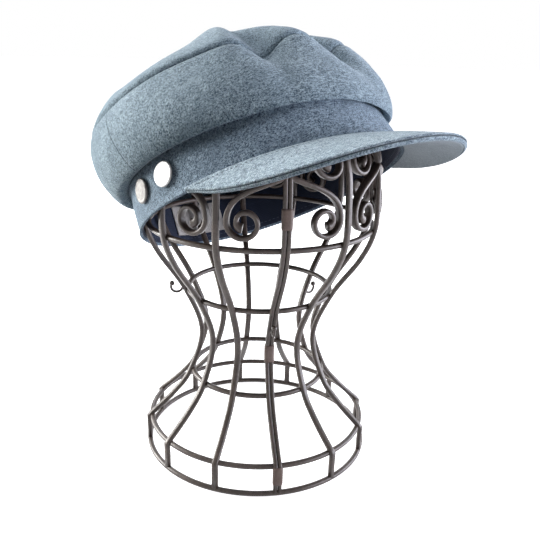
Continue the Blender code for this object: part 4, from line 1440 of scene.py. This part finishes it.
# %% Rows of stitches
STITCHES = {
    # pitch length thread
    "crown_topstitch": (0.0034, 0.0021, 0.00040),
    "band_topstitch": (0.0034, 0.0021, 0.00040),
    "peak_topstitch": (0.0030, 0.0021, 0.00045),
    "sweatband_stitches": (0.0036, 0.0026, 0.00050),
}
CROWN_STITCH_SINK, PEAK_STITCH_SINK = 0.00012, 0.0003
PEAK_STITCH_REACH, PEAK_STITCH_TURNS = 0.96, 240
SWEAT_STITCH_AWAY = 0.0030


def stitch_row(name, line, outwards, finish):
    """A row of stitches along points of the shared frame, each with its way out of the cloth."""
    mesh = bpy.data.meshes.new(name)
    mesh.from_pydata(np.asarray(line).tolist(), [(n, n + 1) for n in range(len(line) - 1)], [])
    out = mesh.attributes.new("out", "FLOAT_VECTOR", "POINT")
    out.data.foreach_set("vector", np.asarray(outwards, np.float32).ravel())
    pitch, length, thread = STITCHES[name]
    row = grown(name, add_object(f"{name}_line", mesh), STITCH_TREE, {
        "Pitch": pitch, "Length": length, "Thread": thread, "Finish": finish})
    row.data.shade_smooth()
    return row


def closed_line(points):
    return np.concatenate([points, points[:1]])


def at_way(grid, ways, distance):
    """Points at a distance along each column of a grid, given the ways of its points."""
    points = []
    for column in range(grid.shape[1]):
        order = np.argsort(ways[:, column])
        points.append([np.interp(distance, ways[order, column], grid[order, column, axis])
                       for axis in range(3)])
    return np.array(points)


def seam_row(name, grid, normals, edge, distance, finish, sink=0.0):
    """Stitches all round a hoop of cloth, at a distance from its first or last row."""
    ways = way_from_edge(grid, edge)
    outward = unit(at_way(normals, ways, distance))
    line = closed_line(in_row(at_way(grid, ways, distance) - outward * sink))
    return stitch_row(name, line, closed_line(outward @ CAP_TURN.T), finish)


crown_topstitch = seam_row("crown_topstitch", wall_topstitch,
                           surface_normals(wall_topstitch, MIDDLE), "last", TOPSTITCH_AWAY,
                           blue_thread, CROWN_STITCH_SINK)
band_topstitch = seam_row("band_topstitch", band_topstitch_grid,
                          surface_normals(band_topstitch_grid, MIDDLE), "first",
                          BAND_STITCH_AWAY, blue_thread, CROWN_STITCH_SINK)

peak_stitch_points, peak_stitch_out = [], []
peak_stitch_end = PEAK_STITCH_REACH * PEAK_CORNER
for turn in np.linspace(-peak_stitch_end, peak_stitch_end, PEAK_STITCH_TURNS):
    start, ray, normal, length = peak_ray(turn)
    if length > 3 * PEAK_STITCH_AWAY:
        level = normal * (PEAK_TOP - PEAK_STITCH_SINK)
        peak_stitch_points.append(start + ray * PEAK_STITCH_AWAY + level)
        peak_stitch_out.append(normal)
peak_topstitch = stitch_row("peak_topstitch", in_row(peak_stitch_points),
                            np.array(peak_stitch_out) @ CAP_TURN.T, blue_thread)

sweat_normals = surface_normals(sweatband, MIDDLE)
sweatband_stitches = seam_row("sweatband_stitches", sweatband - sweat_normals * SWEATBAND,
                              -sweat_normals, "first", SWEAT_STITCH_AWAY, navy_thread)

# %% [markdown]
# Each finished piece gets its material, rides on the one body of the frame, and hides the solids
# that it stands for.

# %% Finishes, bodies and replaced nodes
def finish_piece(piece, finish, slot, *nodes):
    """Gives a piece its finish, unless its tree gave it one, hangs it on the frame's body and hides the
    solids it stands for.
    """
    if finish is not None:
        piece.data.materials.clear()
        piece.data.materials.append(finish)
    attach(piece, "root")
    if nodes:
        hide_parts(*nodes)


finish_piece(crown_wall_cloth, wall_wool, "wool", "crown_wall")
finish_piece(crown_tip_cloth, tip_wool_painted_shade, "wool", "crown_tip")
finish_piece(band_cloth, band_wool, "wool", "band")
finish_piece(peak_cloth, peak_wool, "wool_pale", "peak")
finish_piece(peak_underside_cloth, underside_wool, "wool_pale", "peak_underside")
finish_piece(sweatband_strip, navy_twill, "sweatband_cloth", "sweatband")
finish_piece(label_patch, label_tape, "label_cloth", "label")
# The back buttons take the darker silver, which carries painted shade.
for node, piece in buttons.items():
    finish_piece(piece, bright_silver if "front" in node else dull_shaded_silver, "silver", node)
finish_piece(stand_ribs, None, "bronzed_wire", "wire_stand")
for piece, finish in ((stand_front_rib, stand_bronze), *((ring, None) for ring in stand_rings),
                      (stand_scrolls, None), (stand_high_scrolls, None),
                      (stand_hub, stand_bronze), (stand_collars, collar_bronze),
                      (stand_hooks, stand_bronze)):
    finish_piece(piece, finish, "bronzed_wire")
for piece in (crown_topstitch, band_topstitch, peak_topstitch):
    finish_piece(piece, None, "wool")
finish_piece(sweatband_stitches, None, "sweatband_cloth")

# %% [markdown]
# A pale floor and soft light, as in a small photo studio. Large lamps on the left and behind
# shape the crown, and weaker bluish ones from the right, the front and above fill it in. The
# white room shows in the background and in the metal, but sends only a little light onto cloth,
# so that folds keep their depth. Light Path tells the two kinds of ray apart.

# %% Floor and lights
FLOOR_RADIUS, FLOOR_THICKNESS, FLOOR_SIDES = 12.0, 0.02, 64
FLOOR_WHITE = (0.90, 0.90, 0.91, 1.0)
FLOOR_GLOW, FLOOR_BOUNCE = 0.86, 0.30
ROOM_FILL = 0.18
CROWN_MIDDLE = (0.0, 0.02, 0.22)
LAMP_SIZE = 0.9
LAMPS = [
    # name, place, watts, colour
    ("low left", (-0.95, 1.16, 0.28), 57.0, (1.0, 1.0, 0.97)),
    ("left behind", (-0.70, 1.10, 0.85), 12.0, (1.0, 1.0, 0.98)),
    ("above", (0.00, 0.00, 1.45), 11.0, (0.92, 0.93, 1.0)),
    ("right behind", (0.60, 0.90, 0.90), 9.0, (0.92, 0.93, 1.0)),
    ("low right", (1.20, -0.45, 0.08), 26.0, (0.86, 0.88, 1.0)),
    ("low front", (0.75, -1.05, 0.06), 31.0, (0.86, 0.88, 1.0)),
]


def add_floor():
    floor = turned_profile("floor", [(1.0, -1.0), (1.0, 0.0)], FLOOR_RADIUS, FLOOR_THICKNESS,
                           (0.0, 0.0, 0.0), FLOOR_SIDES)
    white, nodes, links, shader = new_material("white floor", 0.85)
    shader.inputs["Base Color"].default_value = FLOOR_WHITE
    shader.inputs["Emission Color"].default_value = (1.0, 1.0, 1.0, 1.0)
    shader.inputs["Emission Strength"].default_value = FLOOR_GLOW
    dim = nodes.new("ShaderNodeBsdfDiffuse")
    dim.inputs["Color"].default_value = (FLOOR_BOUNCE, FLOOR_BOUNCE, FLOOR_BOUNCE, 1.0)
    both = nodes.new("ShaderNodeMixShader")
    links.new(nodes.new("ShaderNodeLightPath").outputs["Is Diffuse Ray"], both.inputs["Fac"])
    links.new(shader.outputs[0], both.inputs[1])
    links.new(dim.outputs[0], both.inputs[2])
    links.new(both.outputs[0], nodes["Material Output"].inputs["Surface"])
    floor.data.materials.append(white)


def add_room():
    world = bpy.data.worlds.new("studio")
    bpy.context.scene.world = world
    world.use_nodes = True
    nodes, links = world.node_tree.nodes, world.node_tree.links
    nodes["Background"].inputs["Color"].default_value = (1.0, 1.0, 1.0, 1.0)
    glow = nodes.new("ShaderNodeMapRange")
    glow.inputs["To Min"].default_value = 1.0
    glow.inputs["To Max"].default_value = ROOM_FILL
    links.new(nodes.new("ShaderNodeLightPath").outputs["Is Diffuse Ray"], glow.inputs["Value"])
    links.new(glow.outputs["Result"], nodes["Background"].inputs["Strength"])


def add_lamp(name, place, power, colour):
    lamp = bpy.data.lights.new(name, "AREA")
    lamp.size = LAMP_SIZE
    lamp.energy = power
    lamp.color = colour
    holder = add_object(name, lamp)
    holder.location = place
    towards = Vector(CROWN_MIDDLE) - Vector(place)
    holder.rotation_euler = towards.to_track_quat("-Z", "Y").to_euler()


add_floor()
add_room()
for row in LAMPS:
    add_lamp(*row)
print("lamps:", ", ".join(row[0] for row in LAMPS))

# %% [markdown]
# The camera was solved from the stand's rings: how tall, wide and tilted their ellipses look
# gives its place, its turn and its lens. Its sizes are set from the stand's axis, and turned
# with the cap's front, so that the picture shows the cap from its front right.

# %% Camera
CAMERA_BACK, CAMERA_UP = 0.4719, 0.2895
CAMERA_YAW, CAMERA_PITCH, CAMERA_ROLL = (math.radians(v) for v in (0.9227, -18.3307, 1.7066))
VIEW_TURN = math.radians(-37.4)
FOCAL_PIXELS, FRAME_PIXELS, SENSOR_MM = 676.85, 540, 36.0


def camera_axes():
    ahead = Vector((math.sin(CAMERA_YAW) * math.cos(CAMERA_PITCH),
                    math.cos(CAMERA_YAW) * math.cos(CAMERA_PITCH), math.sin(CAMERA_PITCH)))
    level = Vector((math.cos(CAMERA_YAW), -math.sin(CAMERA_YAW), 0.0))
    above = level.cross(ahead)
    right = level * math.cos(CAMERA_ROLL) + above * math.sin(CAMERA_ROLL)
    up = -level * math.sin(CAMERA_ROLL) + above * math.cos(CAMERA_ROLL)
    return right, up, -ahead


lens = bpy.data.cameras.new("camera")
lens.sensor_width = SENSOR_MM
lens.lens = FOCAL_PIXELS / FRAME_PIXELS * SENSOR_MM
lens.clip_start = 0.02
camera = add_object("camera", lens)
turn = Matrix.Rotation(VIEW_TURN, 3, "Z")
columns = [turn @ axis for axis in camera_axes()]
place = turn @ Vector((0.0, -CAMERA_BACK, CAMERA_UP)) + Vector(STAND_PLACE)
place.z += RING_BAR / 2
camera.matrix_world = Matrix.Translation(place) @ Matrix(columns).transposed().to_4x4()
bpy.context.scene.camera = camera
bpy.context.scene.view_settings.view_transform = "Standard"
